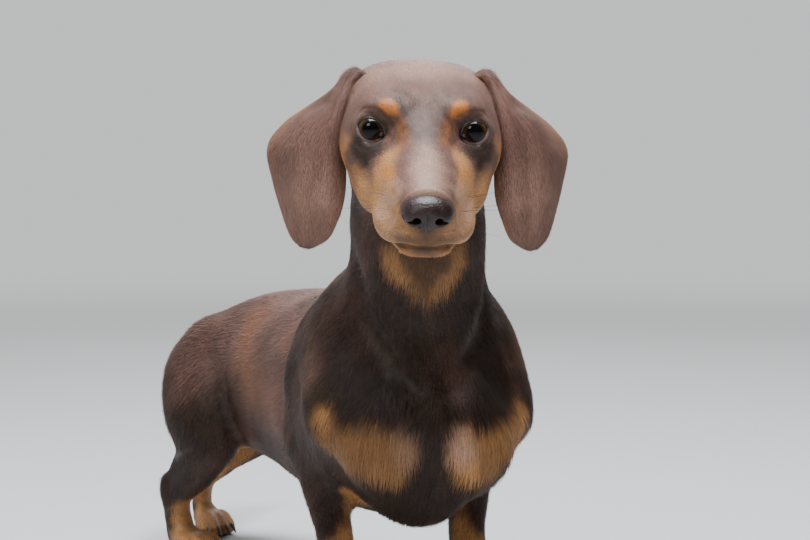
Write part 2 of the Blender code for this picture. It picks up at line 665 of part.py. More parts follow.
def part_flesh(body, collection):
    """Cut the flesh at its joints and name each part by where it lies."""
    cutters = bpy.data.collections["cutters"]
    boolean(body, cutters)
    places, parts = part_places(), []
    pieces = islands(body)
    for piece in pieces[:len(places)]:
        area = sum(f.calc_area() for f in piece.faces)
        middle = sum((f.calc_center_median() * f.calc_area() for f in piece.faces), Vector()) / area
        name = min(places, key=lambda key: (places[key] - middle).length)
        places.pop(name)
        mesh = bpy.data.meshes.new(name)
        piece.to_mesh(mesh)
        thing = bpy.data.objects.new(name, mesh)
        collection.objects.link(thing)
        parts.append(thing)
    for piece in pieces:
        piece.free()
    bpy.data.objects.remove(body)
    return parts


def only_largest(thing):
    """Keep the main body of a piece that a cut has left in several."""
    pieces = islands(thing)
    pieces[0].to_mesh(thing.data)
    for piece in pieces:
        piece.free()


def build():
    """Make every part of the dog."""
    for thing in list(bpy.data.objects):
        bpy.data.objects.remove(thing)
    dog = bpy.data.collections.new("dachshund")
    cutters = bpy.data.collections.new("cutters")
    guides = bpy.data.collections.new("guides")
    for group in (dog, cutters, guides):
        bpy.context.scene.collection.children.link(group)

    body = body_mesh(guides)
    swollen = as_cutter(new_object("swollen_body", [], [], guides))
    swollen.data = body.data.copy()
    swell = swollen.modifiers.new("swell", "DISPLACE")
    swell.mid_level, swell.strength = 0, 1.25 * GAP * MM
    applied(swollen)

    coat, tan = material("coat", COAT, 0.5), material("tan_coat", TAN, 0.55)
    leather, horn = material("nose_leather", LEATHER, 0.35), material("claw_horn", HORN, 0.4)
    eye_brown = material("eye", EYE_BROWN, 0.08)
    finished = []
    for side, hand in HANDS:
        place = head_point(side * EYE_SPACING, EYE_FORWARD, EYE_UP)
        finished.append((ball(f"eye_{hand}", place, (EYE_RADIUS,) * 3, HEAD_FRAME, dog), eye_brown))
        as_cutter(ball(f"socket_{hand}", place, (EYE_RADIUS,) * 3, HEAD_FRAME, cutters, grow=GAP))
        ear = boolean(ear_mesh(f"ear_{hand}", side, dog), swollen)
        only_largest(ear)
        finished.append((ear, coat))
        claws = [(f"dew_claw_{hand}", *DEW_CLAW, False)]
        for kind, paw, hind in (("fore", FORE_PAW, False), ("hind", HIND_PAW, True)):
            claws += [(f"{kind}_claw_{hand}_{n}", *ends, hind) for n, ends in enumerate(paw.claws(), 1)]
        for name, root, tip, hind in claws:
            thing = claw(name, leg_point(side, *root, hind), leg_point(side, *tip, hind), dog)
            only_largest(boolean(thing, swollen))
            finished.append((thing, horn))
    finished.append((ball("nose", head_point(*NOSE_CENTRE), NOSE_RADII, HEAD_FRAME, dog), leather))
    as_cutter(ball("nose_seat", head_point(*NOSE_CENTRE), NOSE_RADII, HEAD_FRAME, cutters, grow=GAP))

    part_cuts(cutters)
    for thing in part_flesh(body, dog):
        finished.append((thing, tan if "paw" in thing.name else coat))

    corners = np.array([v.co for thing, _ in finished for v in thing.data.vertices])
    shift = Vector((*(-(corners.min(0) + corners.max(0)) / 2)[:2], -corners.min(0)[2]))
    for thing, finish in finished:
        thing.data.transform(Matrix.Translation(shift))
        thing.data.materials.clear()
        thing.data.materials.append(finish)
        thing.data.shade_smooth()
        thing.data.set_sharp_from_angle(angle=math.radians(40))
    return shift


build()
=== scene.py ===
"""The finished look of a smooth-haired miniature dachshund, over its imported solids.

Lengths are in millimetres in the dog's own space, where it faces -Y, stands on z = 0 and its left side
is +X. The skin is the surface of a field of distances, a coat's depth inside the solids. Coat, claws,
whiskers and lashes are small shapes set on points by one Geometry Nodes tree.
"""
from __future__ import annotations

import logging
import math
from collections.abc import Callable, Sequence
from dataclasses import dataclass, field
from enum import Enum, IntEnum

import bmesh
import bpy
import numpy as np
import openvdb
from bpy.types import GeometryNodeTree, ID, Material, Mesh, Node, NodeSocket, NodeTree, Object
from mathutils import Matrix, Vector


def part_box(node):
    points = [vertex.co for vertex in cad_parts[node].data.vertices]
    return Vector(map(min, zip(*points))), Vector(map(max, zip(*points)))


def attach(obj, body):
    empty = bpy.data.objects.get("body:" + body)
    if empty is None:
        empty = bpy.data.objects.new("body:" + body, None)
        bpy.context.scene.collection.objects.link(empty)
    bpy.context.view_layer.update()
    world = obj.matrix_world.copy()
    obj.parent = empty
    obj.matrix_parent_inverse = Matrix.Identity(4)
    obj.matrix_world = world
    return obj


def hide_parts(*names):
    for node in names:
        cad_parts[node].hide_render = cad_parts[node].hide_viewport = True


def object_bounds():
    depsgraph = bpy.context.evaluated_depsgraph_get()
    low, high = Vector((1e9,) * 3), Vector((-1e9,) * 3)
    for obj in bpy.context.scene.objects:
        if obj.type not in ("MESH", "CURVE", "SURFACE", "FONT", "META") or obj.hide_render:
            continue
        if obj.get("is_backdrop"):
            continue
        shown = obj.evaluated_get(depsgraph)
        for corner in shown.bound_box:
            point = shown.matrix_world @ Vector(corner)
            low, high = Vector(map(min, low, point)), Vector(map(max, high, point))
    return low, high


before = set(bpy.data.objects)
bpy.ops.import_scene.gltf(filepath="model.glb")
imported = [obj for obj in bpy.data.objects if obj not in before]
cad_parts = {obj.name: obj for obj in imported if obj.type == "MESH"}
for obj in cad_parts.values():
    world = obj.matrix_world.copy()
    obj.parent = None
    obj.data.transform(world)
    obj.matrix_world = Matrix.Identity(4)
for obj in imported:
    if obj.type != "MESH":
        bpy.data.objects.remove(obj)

LOG = logging.getLogger("dachshund")
Points = np.ndarray
MM = 0.001
FAR = 60.0                  # the field is not followed further out than this
BODY = "root"
SEED = 7
TRAINS, CREST = 9, 3.2      # waves in an irregular pattern, and the height that they seldom pass together


class Hand(IntEnum):
    """The two sides of the dog, by the sign of X."""

    RIGHT = -1
    LEFT = 1

    @property
    def word(self) -> str:
        """The side's name as it stands in the names of nodes."""
        return self.name.lower()


class Region(IntEnum):
    """The regions of the form, as columns of its distances."""

    TRUNK = 0
    FORE_RIGHT = 1
    HIND_RIGHT = 2
    FORE_LEFT = 3
    HIND_LEFT = 4
    NECK = 5
    TAIL = 6
    HEAD = 7


# Fields

def smin(a: Points, b: Points, k: float) -> Points:
    """The nearer of two distances, rounded over k where they are alike."""
    h = np.clip(0.5 + 0.5 * (b - a) / k, 0, 1)
    return b + (a - b) * h - k * h * (1 - h)


def smax(a: Points, b: Points, k: float) -> Points:
    """The further of two distances, rounded over k where they are alike."""
    return -smin(-a, -b, k)


def ramp(x: Points, start: float, end: float) -> Points:
    """A smooth step from 0 at start to 1 at end."""
    t = np.clip((x - start) / (end - start), 0, 1)
    return t * t * (3 - 2 * t)


def unit(v: Points) -> Points:
    """Vectors, one a row, at length 1."""
    return v / np.maximum(np.linalg.norm(v, axis=-1, keepdims=True), 1e-9)


def norms(v: Points) -> Points:
    """The length of each vector, one a row."""
    return np.linalg.norm(v, axis=1)


def flat_on(normals: Points, v: Points) -> Points:
    """Vectors laid flat on surfaces that have these normals, at length 1."""
    return unit(v - (v * normals).sum(1, keepdims=True) * normals)


def bell(x: Points, width: float) -> Points:
    """A smooth bump: 1 where x is 0, and close to 0 from two widths on."""
    return np.exp(-(x / width) ** 2)


def waves(q: Points, pitch: float, seed: int) -> Points:
    """A smooth irregular pattern between about -1 and 1.

    Args:
        q: places, one a row.
        pitch: the usual distance between two crests.
        seed: which pattern of its kind it is.

    Returns:
        One number for each place.
    """
    rng = np.random.default_rng(seed)
    total = np.zeros(len(q))
    for _ in range(TRAINS):
        direction = unit(rng.normal(size=3))
        total += np.sin(q @ direction * 2 * math.pi / (pitch * rng.uniform(0.7, 1.5)) + rng.uniform(0, 6.3))
    return total / CREST


def smooth_rows(rows: Sequence, count: int) -> Points:
    """Rows read at even steps along a smooth line through them.

    Args:
        rows: numbers, a row for each knot.
        count: how many rows to read.

    Returns:
        The rows read, the first and last of them the same as before.
    """
    v = np.asarray(rows, float)
    v = np.vstack([2 * v[0] - v[1], v, 2 * v[-1] - v[-2]])
    t = np.linspace(0, len(rows) - 1, count)
    i = np.minimum(t.astype(int), len(rows) - 2)
    u = (t - i)[:, None]
    a, b, c, d = v[i], v[i + 1], v[i + 2], v[i + 3]
    square, cube = 2 * a - 5 * b + 4 * c - d, 3 * b - a - 3 * c + d
    return 0.5 * (2 * b + (c - a) * u + square * u**2 + cube * u**3)


def section(side: Points, up: Points, along: Points, half: Points, reach: tuple, roundness: tuple,
            end: Points) -> Points:
    """Distance to a rounded section with its own upper and lower half, closed by a dome.

    Args:
        side: how far each place is to the side of the section's middle.
        up: how far above it.
        along: how far past the end of the form, 0 inside it.
        half: half widths.
        reach: heights of the upper and the lower half.
        roundness: powers of the upper and the lower half, 2 for an ellipse.
        end: lengths of the dome.

    Returns:
        Distances, below 0 inside.
    """
    b, n = np.where(up > 0, *reach), np.where(up > 0, *roundness)
    level = (np.abs(side) / half) ** n + (np.abs(up) / b) ** n + (np.abs(along) / end) ** n
    level = np.maximum(level, 1e-9) ** (1 / n)
    out = np.sqrt(side**2 + up**2 + along**2)
    centre = 1e-3
    return np.where(level > centre, out * (1 - 1 / np.maximum(level, centre)), -np.minimum(half, b))


@dataclass
class Loft:
    """A form with sections across a straight line: at, widest at, half width, top, bottom, two powers."""

    rows: Sequence[tuple]
    front_dome: float
    back_dome: float

    def __post_init__(self) -> None:
        """Reads the rows along a smooth line."""
        self.fine = smooth_rows(self.rows, 200)

    def distance(self, side: Points, along: Points, up: Points) -> Points:
        """Distance to the form from places given along its own axes."""
        at = np.clip(along, self.fine[0, 0], self.fine[-1, 0])
        middle, half, top, bottom, nt, nb = (np.interp(at, self.fine[:, 0], c) for c in self.fine[:, 1:].T)
        end = np.where(along < at, self.front_dome, self.back_dome)
        return section(side, up - middle, along - at, half, (top - middle, middle - bottom), (nt, nb), end)


@dataclass
class Limb:
    """A form that tapers along a smooth line of x, y, z, half width and two reaches in its own plane."""

    rows: Sequence[tuple]
    run_in: float = 0.0
    power: float = 2.0
    samples: int = 36

    def __post_init__(self) -> None:
        """Reads the line and the axes across it."""
        fine = smooth_rows(self.rows, self.samples)
        self.line, self.size = fine[:, :3], fine[:, 3:6]
        self.along = unit(np.gradient(self.line, axis=0))
        self.side = unit(np.array([1.0, 0, 0]) - self.along[:, :1] * self.along)
        self.face = np.cross(self.side, self.along)
        reach = self.size.max() + FAR / 2
        self.low, self.high = self.line.min(0) - reach, self.line.max(0) + reach

    def distance(self, q: Points) -> Points:
        """Distance to the form; places far off get FAR."""
        out = np.full(len(q), FAR)
        near = np.flatnonzero(np.all((q > self.low) & (q < self.high), axis=1))
        for part in np.array_split(near, max(1, len(near) // 40000)):
            if len(part):
                out[part] = self.close(q[part])
        return out

    def nearest(self, x: Points) -> tuple[Points, Points]:
        """The span of the line nearest to each place, and the share of it that is passed there."""
        start, step = self.line[:-1], np.diff(self.line, axis=0)
        square = (step**2).sum(1)
        knot = ((x[:, None] - self.line[None]) ** 2).sum(2).argmin(1)
        best, span, share = np.full(len(x), np.inf), np.zeros(len(x), int), np.zeros(len(x))
        for j in (np.clip(knot - 1, 0, len(start) - 1), np.clip(knot, 0, len(start) - 1)):
            t = np.clip(((x - start[j]) * step[j]).sum(1) / square[j], 0, 1)
            d = ((x - start[j] - t[:, None] * step[j]) ** 2).sum(1)
            closer = d < best
            best, span, share = (np.where(closer, *pair) for pair in ((d, best), (j, span), (t, share)))
        return span, share

    def close(self, x: Points) -> Points:
        """Distance to the form from places that are near it."""
        span, share = self.nearest(x)
        t = share[:, None]

        def read(values: Points) -> Points:
            """Values of the line at each place's nearest point."""
            return values[span] * (1 - t) + values[span + 1] * t

        size, away = read(self.size), x - read(self.line)
        side, up, along = ((away * read(axis)).sum(1) for axis in (self.side, self.face, self.along))
        first, last = (span == 0) & (share <= 0), (span == len(self.line) - 2) & (share >= 1)
        ends = [max(self.size[i, :2].min(), 0.1) for i in (0, -1)]
        return section(side, up, np.where(first | last, along, 0.0), size[:, 0], (size[:, 1], size[:, 2]),
                       (self.power, self.power), np.where(first, *ends))


@dataclass(frozen=True)
class Egg:
    """An egg-shaped muscle and the width over which it runs into the form."""

    centre: tuple
    radii: tuple
    run_in: float = 0.0

    def distance(self, q: Points) -> Points:
        """Distance to the egg."""
        v, r = q - np.array(self.centre, float), np.array(self.radii, float)
        near = np.sqrt(((v / r) ** 2).sum(1))
        slope = np.maximum(np.sqrt(((v / r**2) ** 2).sum(1)), 1e-9)
        return np.where(slope > 1e-8, near * (near - 1) / slope, -r.min())


@dataclass
class Crease:
    """A fold or furrow along a line of points: a height above 0 lifts the skin, one below lowers it."""

    line: Sequence[tuple]
    width: float
    height: float
    samples: int = 30
    taper: float = 0.18

    def __post_init__(self) -> None:
        """Reads the line smoothly."""
        self.fine = smooth_rows(self.line, self.samples)

    def lift(self, q: Points) -> Points:
        """How far the skin is lifted at each place."""
        out = np.zeros(len(q))
        reach = 3 * self.width
        near = np.flatnonzero(np.all((q > self.fine.min(0) - reach) & (q < self.fine.max(0) + reach), axis=1))
        if len(near):
            square = np.full(len(near), np.inf)
            share = np.zeros(len(near))
            for i, p in enumerate(self.fine):
                d = ((q[near] - p) ** 2).sum(1)
                share = np.where(d < square, i / (self.samples - 1), share)
                square = np.minimum(square, d)
            ends = np.clip(np.minimum(share, 1 - share) / self.taper, 0, 1)
            out[near] = self.height * (0.25 + 0.75 * ends) * np.exp(-square / self.width**2)
        return out


def turned(yaw: float, pitch: float, roll: float) -> Points:
    """Columns side, forward and up of something that faces -Y before it is turned, in degrees."""
    y, p, r = (math.radians(v) for v in (yaw, pitch, roll))
    forward = np.array([math.sin(y) * math.cos(p), -math.cos(y) * math.cos(p), math.sin(p)])
    side = np.array([math.cos(y), math.sin(y), 0.0])
    up = np.cross(forward, side)
    up = up if up[2] > 0 else -up
    return np.array([side * math.cos(r) + up * math.sin(r), forward, up * math.cos(r) - side * math.sin(r)]).T


@dataclass
class Stance:
    """How the dog stands: its head's place and turn, the bend of its spine and the step of its hind feet."""

    eye_line: tuple = (-39.3, -97.5, 258.0)
    head_yaw: float = -22.5
    head_pitch: float = -26.0
    head_roll: float = -1.6
    bend_mid: float = 95.0
    bend_front: float = 0.00075
    bend_rear: float = 0.0019
    spine_ends: tuple = (-75.0, 235.0)
    hind_step: dict = field(default_factory=lambda: {-1: -5.0, 1: 54.0})
    hip_height: float = 125.0
    ankle_height: float = 20.0

    def __post_init__(self) -> None:
        """Works out the head's axes."""
        self.eyes = np.array(self.eye_line)
        self.head = turned(self.head_yaw, self.head_pitch, self.head_roll)
        self.ears = turned(self.head_yaw, 0, 0.4 * self.head_roll)
        self.face = turned(self.head_yaw, 0, self.head_roll)

    def spine(self, y: Points) -> tuple[Points, Points]:
        """Sideways place and slope of the spine, which keeps still past its ends."""
        y = np.clip(y, *self.spine_ends)
        rate = np.where(y < self.bend_mid, self.bend_front, self.bend_rear)
        return -rate * (y - self.bend_mid) ** 2, -2 * rate * (y - self.bend_mid)

    def straighten(self, q: Points) -> Points:
        """Places read along the bent spine."""
        y = q[:, 1].copy()
        for _ in range(4):
            middle, slope = self.spine(y)
            y = q[:, 1] + slope * (q[:, 0] - middle)
        return np.stack([(q[:, 0] - middle) * np.sqrt(1 + slope**2), y, q[:, 2]], 1)

    def bent(self, point: Sequence[float]) -> Points:
        """A point of the straightened body in its place along the bent spine."""
        x, y, z = point
        middle, slope = (float(v) for v in self.spine(y))
        across = x / math.sqrt(1 + slope**2)
        return np.array([middle + across, y - slope * across, z])

    def swung(self, z: Points) -> Points:
        """The share of a hind leg's step at a height."""
        return np.clip((self.hip_height - z) / (self.hip_height - self.ankle_height), 0, 1)

    def stepped(self, q: Points, hand: Hand) -> Points:
        """The straightened body with one hind leg swung back about its hip."""
        swing = self.hind_step[hand] * self.swung(q[:, 2])
        return q - np.stack([np.zeros(len(q)), swing, np.zeros(len(q))], 1)

    def leg_point(self, hand: Hand, point: Sequence[float], hind: bool) -> Points:
        """A point of a left leg in its place on either side."""
        x, y, z = point
        swing = self.hind_step[hand] * float(self.swung(z)) if hind else 0
        return self.bent((hand * x, y + swing, z))

    def on_head(self, *p: float) -> Points:
        """A point of the head's own axes in place."""
        return self.eyes + self.head @ np.array(p, float)

    def from_head(self, p: Points) -> Points:
        """Places of the head's own axes in place."""
        return self.eyes + p @ self.head.T

    def of_head(self, q: Points) -> Points:
        """Places read along the head's own axes: side, forward and up from the eye line."""
        return (q - self.eyes) @ self.head

    def of_face(self, q: Points) -> Points:
        """Places as seen from the front of the head: side, ahead and height."""
        return (q - self.eyes) @ self.face


@dataclass
class Paw:
    """A foot: where its ankle stands, how far it turns out, and its four toes."""

    ankle: tuple
    turn_out: float
    spread: float
    reach: float
    toe: float
    pad: float

    def place(self, side: float, forward: float, up: float) -> Points:
        """A point of the left foot, in the straightened body."""
        c, s = math.cos(math.radians(self.turn_out)), math.sin(math.radians(self.turn_out))
        return np.array([self.ankle[0] + side * c + forward * s, self.ankle[1] + side * s - forward * c, up])

    def toes(self) -> list[tuple[float, float]]:
        """Each toe's offset to the side and how far forward it reaches."""
        shares = ((-1.5, 0.82), (-0.5, 1.0), (0.5, 1.0), (1.5, 0.84))
        return [(step * self.spread, self.reach * share) for step, share in shares]

    def distance(self, q: Points) -> Points:
        """Distance to the foot."""
        size = (1.75 * self.spread, 0.45 * self.reach, 8.5)
        d = Egg(tuple(self.place(0, 0.35 * self.reach, 0.9 * self.toe)), size).distance(q)
        sole = Egg(tuple(self.place(0, 0.42 * self.reach, 4.5)), (1.4 * self.spread, self.pad, 5.2))
        d = smin(d, sole.distance(q), 3)
        for offset, reach in self.toes():
            rows = [(*self.place(0.6 * offset, 0.2 * reach, 1.9 * self.toe), *(0.85 * self.toe,) * 3),
                    (*self.place(0.92 * offset, 0.66 * reach, 1.75 * self.toe), *(0.9 * self.toe,) * 3),
                    (*self.place(1.04 * offset, 0.97 * reach, 0.95 * self.toe), *(0.98 * self.toe,) * 3)]
            d = smin(d, Limb(rows).distance(q), 2.2)
        return d

    def claws(self) -> list[tuple[Points, Points]]:
        """Where each claw leaves its toe, and the point it runs to."""
        out = []
        for offset, reach in self.toes():
            root = self.place(1.04 * offset, 0.97 * reach + 0.55 * self.toe, 1.15 * self.toe)
            out.append((root, self.place(1.07 * offset, 0.97 * reach + self.toe + 5.2, 2.2)))
        return out


FORE_PAW = Paw((38.5, -8, 0), 6, 8.6, 27, 6.3, 9.5)
HIND_PAW = Paw((31.5, 222, 0), 5, 7.6, 23, 5.7, 8.5)
DEW_CLAW = (np.array([27.5, -8, 29]), np.array([25.6, -14.5, 22.5]))


@dataclass
class Eyelids:
    """The lids' opening on the ball of the eye, an almond whose inner corner is the lower."""

    spacing: float = 25.7
    forward: float = -1.5
    up: float = -2.4
    radius: float = 9.4
    half_width: float = 7.2
    half_height: float = 5.6
    tilt: float = 20.0
    gaze: tuple = (-0.044, 0.898, 0.438)
    outwards: float = 0.1
    thickness: float = 1.0

    @property
    def arc(self) -> tuple[float, float]:
        """The radius of both arcs of the almond, and how far their middles lie from its own."""
        radius = (self.half_width**2 + self.half_height**2) / (2 * self.half_height)
        return radius, radius - self.half_height

    def centre(self, hand: Hand) -> Points:
        """The middle of the ball, along the head's axes."""
        return np.array([hand * self.spacing, self.forward, self.up])

    def gap(self, p: Points) -> Points:
        """Distance from the middle of the nearer ball."""
        return np.minimum(*(norms(p - self.centre(hand)) for hand in Hand))

    def axes(self, hand: Hand) -> Points:
        """Columns along the almond, up across it and out along the gaze, in the head's axes."""
        look = unit(np.array(self.gaze) + (hand * self.outwards, 0, 0))
        level = unit(np.cross(look, (0, 0, 1.0)))
        level = level if level[0] > 0 else -level
        rise = np.cross(level, look)
        rise = rise if rise[2] > 0 else -rise
        t = math.radians(self.tilt) * hand
        c, s = math.cos(t), math.sin(t)
        return np.array([level * c + rise * s, rise * c - level * s, look]).T

    def almond(self, a: Points, b: Points) -> Points:
        """Distance to the opening's outline, over the ball: two arcs that meet in the corners."""
        radius, drop = self.arc
        return smax(np.hypot(a, b - drop), np.hypot(a, b + drop), 0.6) - radius

    def around(self, p: Points, hand: Hand) -> tuple[Points, Points, Points]:
        """Each place's distance to the outline, height over the ball, and share along the gaze."""
        v = p - self.centre(hand)
        out = norms(v)
        a, b, w = (v @ self.axes(hand)).T
        scale = self.radius / np.clip(out, self.radius - 3, self.radius + 2.5)
        rim = np.where(w > 0, self.almond(a * scale, b * scale), FAR)
        return rim, out - self.radius, w / np.maximum(out, 1e-6)

    def outline(self, hand: Hand, count: int, lift: float) -> tuple[Points, Points]:
        """The lids' edge in place.

        Args:
            hand: which eye.
            count: how many points run round it.
            lift: how far over the ball it lies.

        Returns:
            Points in the head's axes, and for each its height in the almond from -1 to 1.
        """
        radius, drop = self.arc
        half_angle = math.asin(self.half_width / radius)
        t = np.linspace(-half_angle, half_angle, count // 2 + 1)
        upper = np.stack([radius * np.sin(t), radius * np.cos(t) - drop], 1)
        lower = -upper
        ring = np.vstack([upper[:-1], lower[:-1]])
        out = np.sqrt(np.maximum(self.radius**2 - (ring**2).sum(1), 0.1))
        on_ball = np.column_stack([ring, out]) * (self.radius + lift) / self.radius
        return on_ball @ self.axes(hand).T + self.centre(hand), ring[:, 1] / self.half_height


LIDS = Eyelids()

HEAD_ROWS = (
    (-70, 0, 20, 5, -20, 2.0, 2.0), (-58, 0, 31, 12, -32, 2.2, 2.0), (-44, -1, 36.5, 17, -40, 2.5, 2.0),
    (-30, -4, 39, 18.5, -44, 2.7, 2.0), (-15, -8, 39.5, 18.5, -45, 2.7, 2.2),
    (-4, -13, 38, 16.5, -44, 2.5, 2.5), (6, -19, 34.5, 12.5, -42, 2.1, 2.8),
    (16, -22, 30.5, 9, -39.5, 1.9, 2.8), (27, -23, 27, 6, -37.5, 1.9, 2.6),
    (40, -24, 24, 3.5, -35.5, 2.0, 2.5), (53, -24, 20, 1.5, -34.5, 2.1, 2.4),
    (63, -23, 16, -1.5, -33.5, 2.2, 2.4),
)
JAW_ROWS = (
    (-5, -30, 27, -22, -43, 2.0, 2.0), (20, -33, 22, -26, -43.5, 2.0, 2.2),
    (40, -36, 18.5, -30, -43.5, 2.0, 2.2), (52, -37, 16.5, -31, -43, 2.0, 2.2),
    (60, -37, 13.5, -32, -41.5, 2.0, 2.2),
)
TRUNK_ROWS = (
    (-62, 103, 32, 138, 72, 2.2, 2.0), (-42, 106, 45, 158, 58, 2.2, 2.0), (-20, 110, 52, 170, 51, 2.1, 2.0),
    (5, 112, 55, 173, 46, 2.0, 2.0), (30, 110, 56, 170.5, 45, 2.1, 2.0), (60, 109, 56, 168, 46, 2.2, 2.1),
    (90, 110, 54, 166.5, 48, 2.2, 2.1), (115, 112, 51, 165, 52, 2.2, 2.1),
    (140, 114, 47, 163.5, 57, 2.2, 2.1),
    (165, 115, 43, 160.5, 62, 2.2, 2.1), (190, 115, 39, 154, 70, 2.1, 2.1), (208, 116, 34, 146, 82, 2.0, 2.0),
    (220, 117, 26, 138, 94, 2.0, 2.0),
)
NECK_ROWS = ((-8, 4, 128, 46, 50, 46), (-11, -26, 158, 40, 46, 44), (-16, -42, 186, 36, 39, 39),
             (-20.6, -52, 212, 35.5, 35, 38), (-23.6, -58, 236, 33.2, 31, 35), (-22, -57, 256, 27, 24, 31))
TAIL_ROWS = ((-27, 204, 127, 12, 12, 12), (-33, 228, 122, 11, 11, 11), (-29, 252, 110, 10, 10, 10),
             (-17, 276, 97, 9, 9, 9), (-2, 300, 86, 8, 8, 8), (16, 324, 78, 7, 7, 7),
             (34, 346, 74, 6, 6, 6), (52, 366, 74, 4.8, 4.8, 4.8), (67, 382, 78, 3.2, 3.2, 3.2))
SHOULDER_ROWS = ((24, 4, 160, 12, 14, 16), (40, -14, 143, 16, 18, 22), (45, -32, 120, 17, 18, 20),
                 (44, -40, 104, 16, 14, 16))
UPPER_ARM_ROWS = ((42, -38, 104, 16, 15, 16), (43, -18, 100, 15, 17, 18), (44, 2, 94, 13.5, 15, 17),
                  (44.5, 18, 87, 12, 13, 13))
TRICEPS_ROWS = ((36, 10, 144, 14, 16, 18), (42.5, 12, 120, 15, 21, 20), (45, 20, 95, 11, 13, 12))
FOREARM_ROWS = ((45, 16, 88, 13, 13, 13), (44, 10, 74, 12.5, 14, 13), (41, 4, 56, 11.5, 11.5, 11),
                (38, -1, 40, 10.6, 10.3, 10), (37.5, -5, 26, 10.5, 10, 9.5), (39, -9, 17, 11.5, 9, 9))
THIGH_ROWS = ((20, 198, 124, 14, 18, 20), (33, 200, 108, 17, 27, 26), (38, 196, 86, 18, 26, 26),
              (37, 191, 71, 12, 19, 22))
SHANK_ROWS = ((37, 187, 75, 13, 17, 20), (36, 203, 57, 11.5, 18, 16), (33, 219, 44, 9.2, 13, 12),
              (31.5, 227, 38, 8, 9.5, 9.5))
HOCK_ROWS = ((31.5, 229, 44, 7, 7.5, 8), (31, 227.5, 34, 7.6, 9, 8), (31, 225, 20, 8.4, 9, 8),
             (31.5, 223, 14, 9.5, 8.5, 8.5))
HEAD_MUSCLES = (Egg((29.3, -13, -15), (11.3, 26, 12.5), 10), Egg((25, -28, -25), (12, 20, 18), 10),
                Egg((22.5, 10, -29), (11, 23, 11), 8), Egg((18.5, -3, 9.5), (11, 9, 5.5), 9),
                Egg((15.5, 45, -28.5), (10.3, 21, 9), 6))
ORBIT_HOLLOW = Egg((22.5, 20, 6), (7, 13, 7), 9)
OPENING_AHEAD, OPENING_RADIUS, OPENING_WAY = 5.0, 7.2, (0.05, 0.9, 0.43)   # of the socket
BREAST, BREASTBONE = Egg((23, -58, 92), (24, 19, 27), 16), Egg((0, -72, 106), (15, 12, 14), 12)
BUTTOCK = Egg((19, 204, 110), (18, 23, 30), 14)
KEEL = Egg((0, -38, 70), (27, 30, 25), 16)
# folds: a line of points, then its width and height and at need how finely it is read
NECK_FOLDS = (
    (((-52, -37, 196), (-49, -47, 163), (-42, -58, 142), (-31, -78, 117)), 6.5, -4.6),
    (((-45, -47, 190), (-41, -56, 164), (-35, -66, 144), (-27, -80, 121)), 5.0, 1.8),
    (((17, -60, 190), (11, -66, 152), (-5, -76, 132), (-19, -82, 117)), 6.5, -4.6),
    (((9, -68, 186), (2, -74, 154), (-9, -80, 137), (-20, -84, 122)), 5.0, 1.8),
    (((-17, -86, 120), (-15, -88, 104), (-13, -86, 88), (-11, -80, 72)), 8.0, -2.2),
)
BODY_FOLDS = ((((47, 37, 152), (56, 37, 128), (58, 36, 104), (55, 33, 84)), 9, -2.2),
              (((33, 168, 148), (43, 164, 122), (42, 164, 96), (34, 168, 74)), 10, -1.6))
LIP_FOLDS = ((((25, 16, -30.5), (22.5, 34, -33.8), (18.5, 52, -35), (9.5, 65, -35.2), (0, 68.5, -35.3)),
              1.25, -1.9, 60), (((26.5, 12, -27), (25.5, 22, -36), (23, 28, -43)), 2.6, -1.0))
LIP_GROOVE = (((0, 70, -19), (0, 71, -25), (0, 69.5, -32)), 0.9, -0.9)
LEG_TOP = 220.0                     # no part of the trunk or the legs is above this
HEAD_REACH, FACE_REACH = 150, 85    # from the eye line, and from the middle of the face
JOINS = ((Region.FORE_RIGHT, 14), (Region.HIND_RIGHT, 15), (Region.FORE_LEFT, 14), (Region.HIND_LEFT, 15),
         (Region.NECK, 26), (Region.TAIL, 8), (Region.HEAD, 14))    # widths over which regions run together


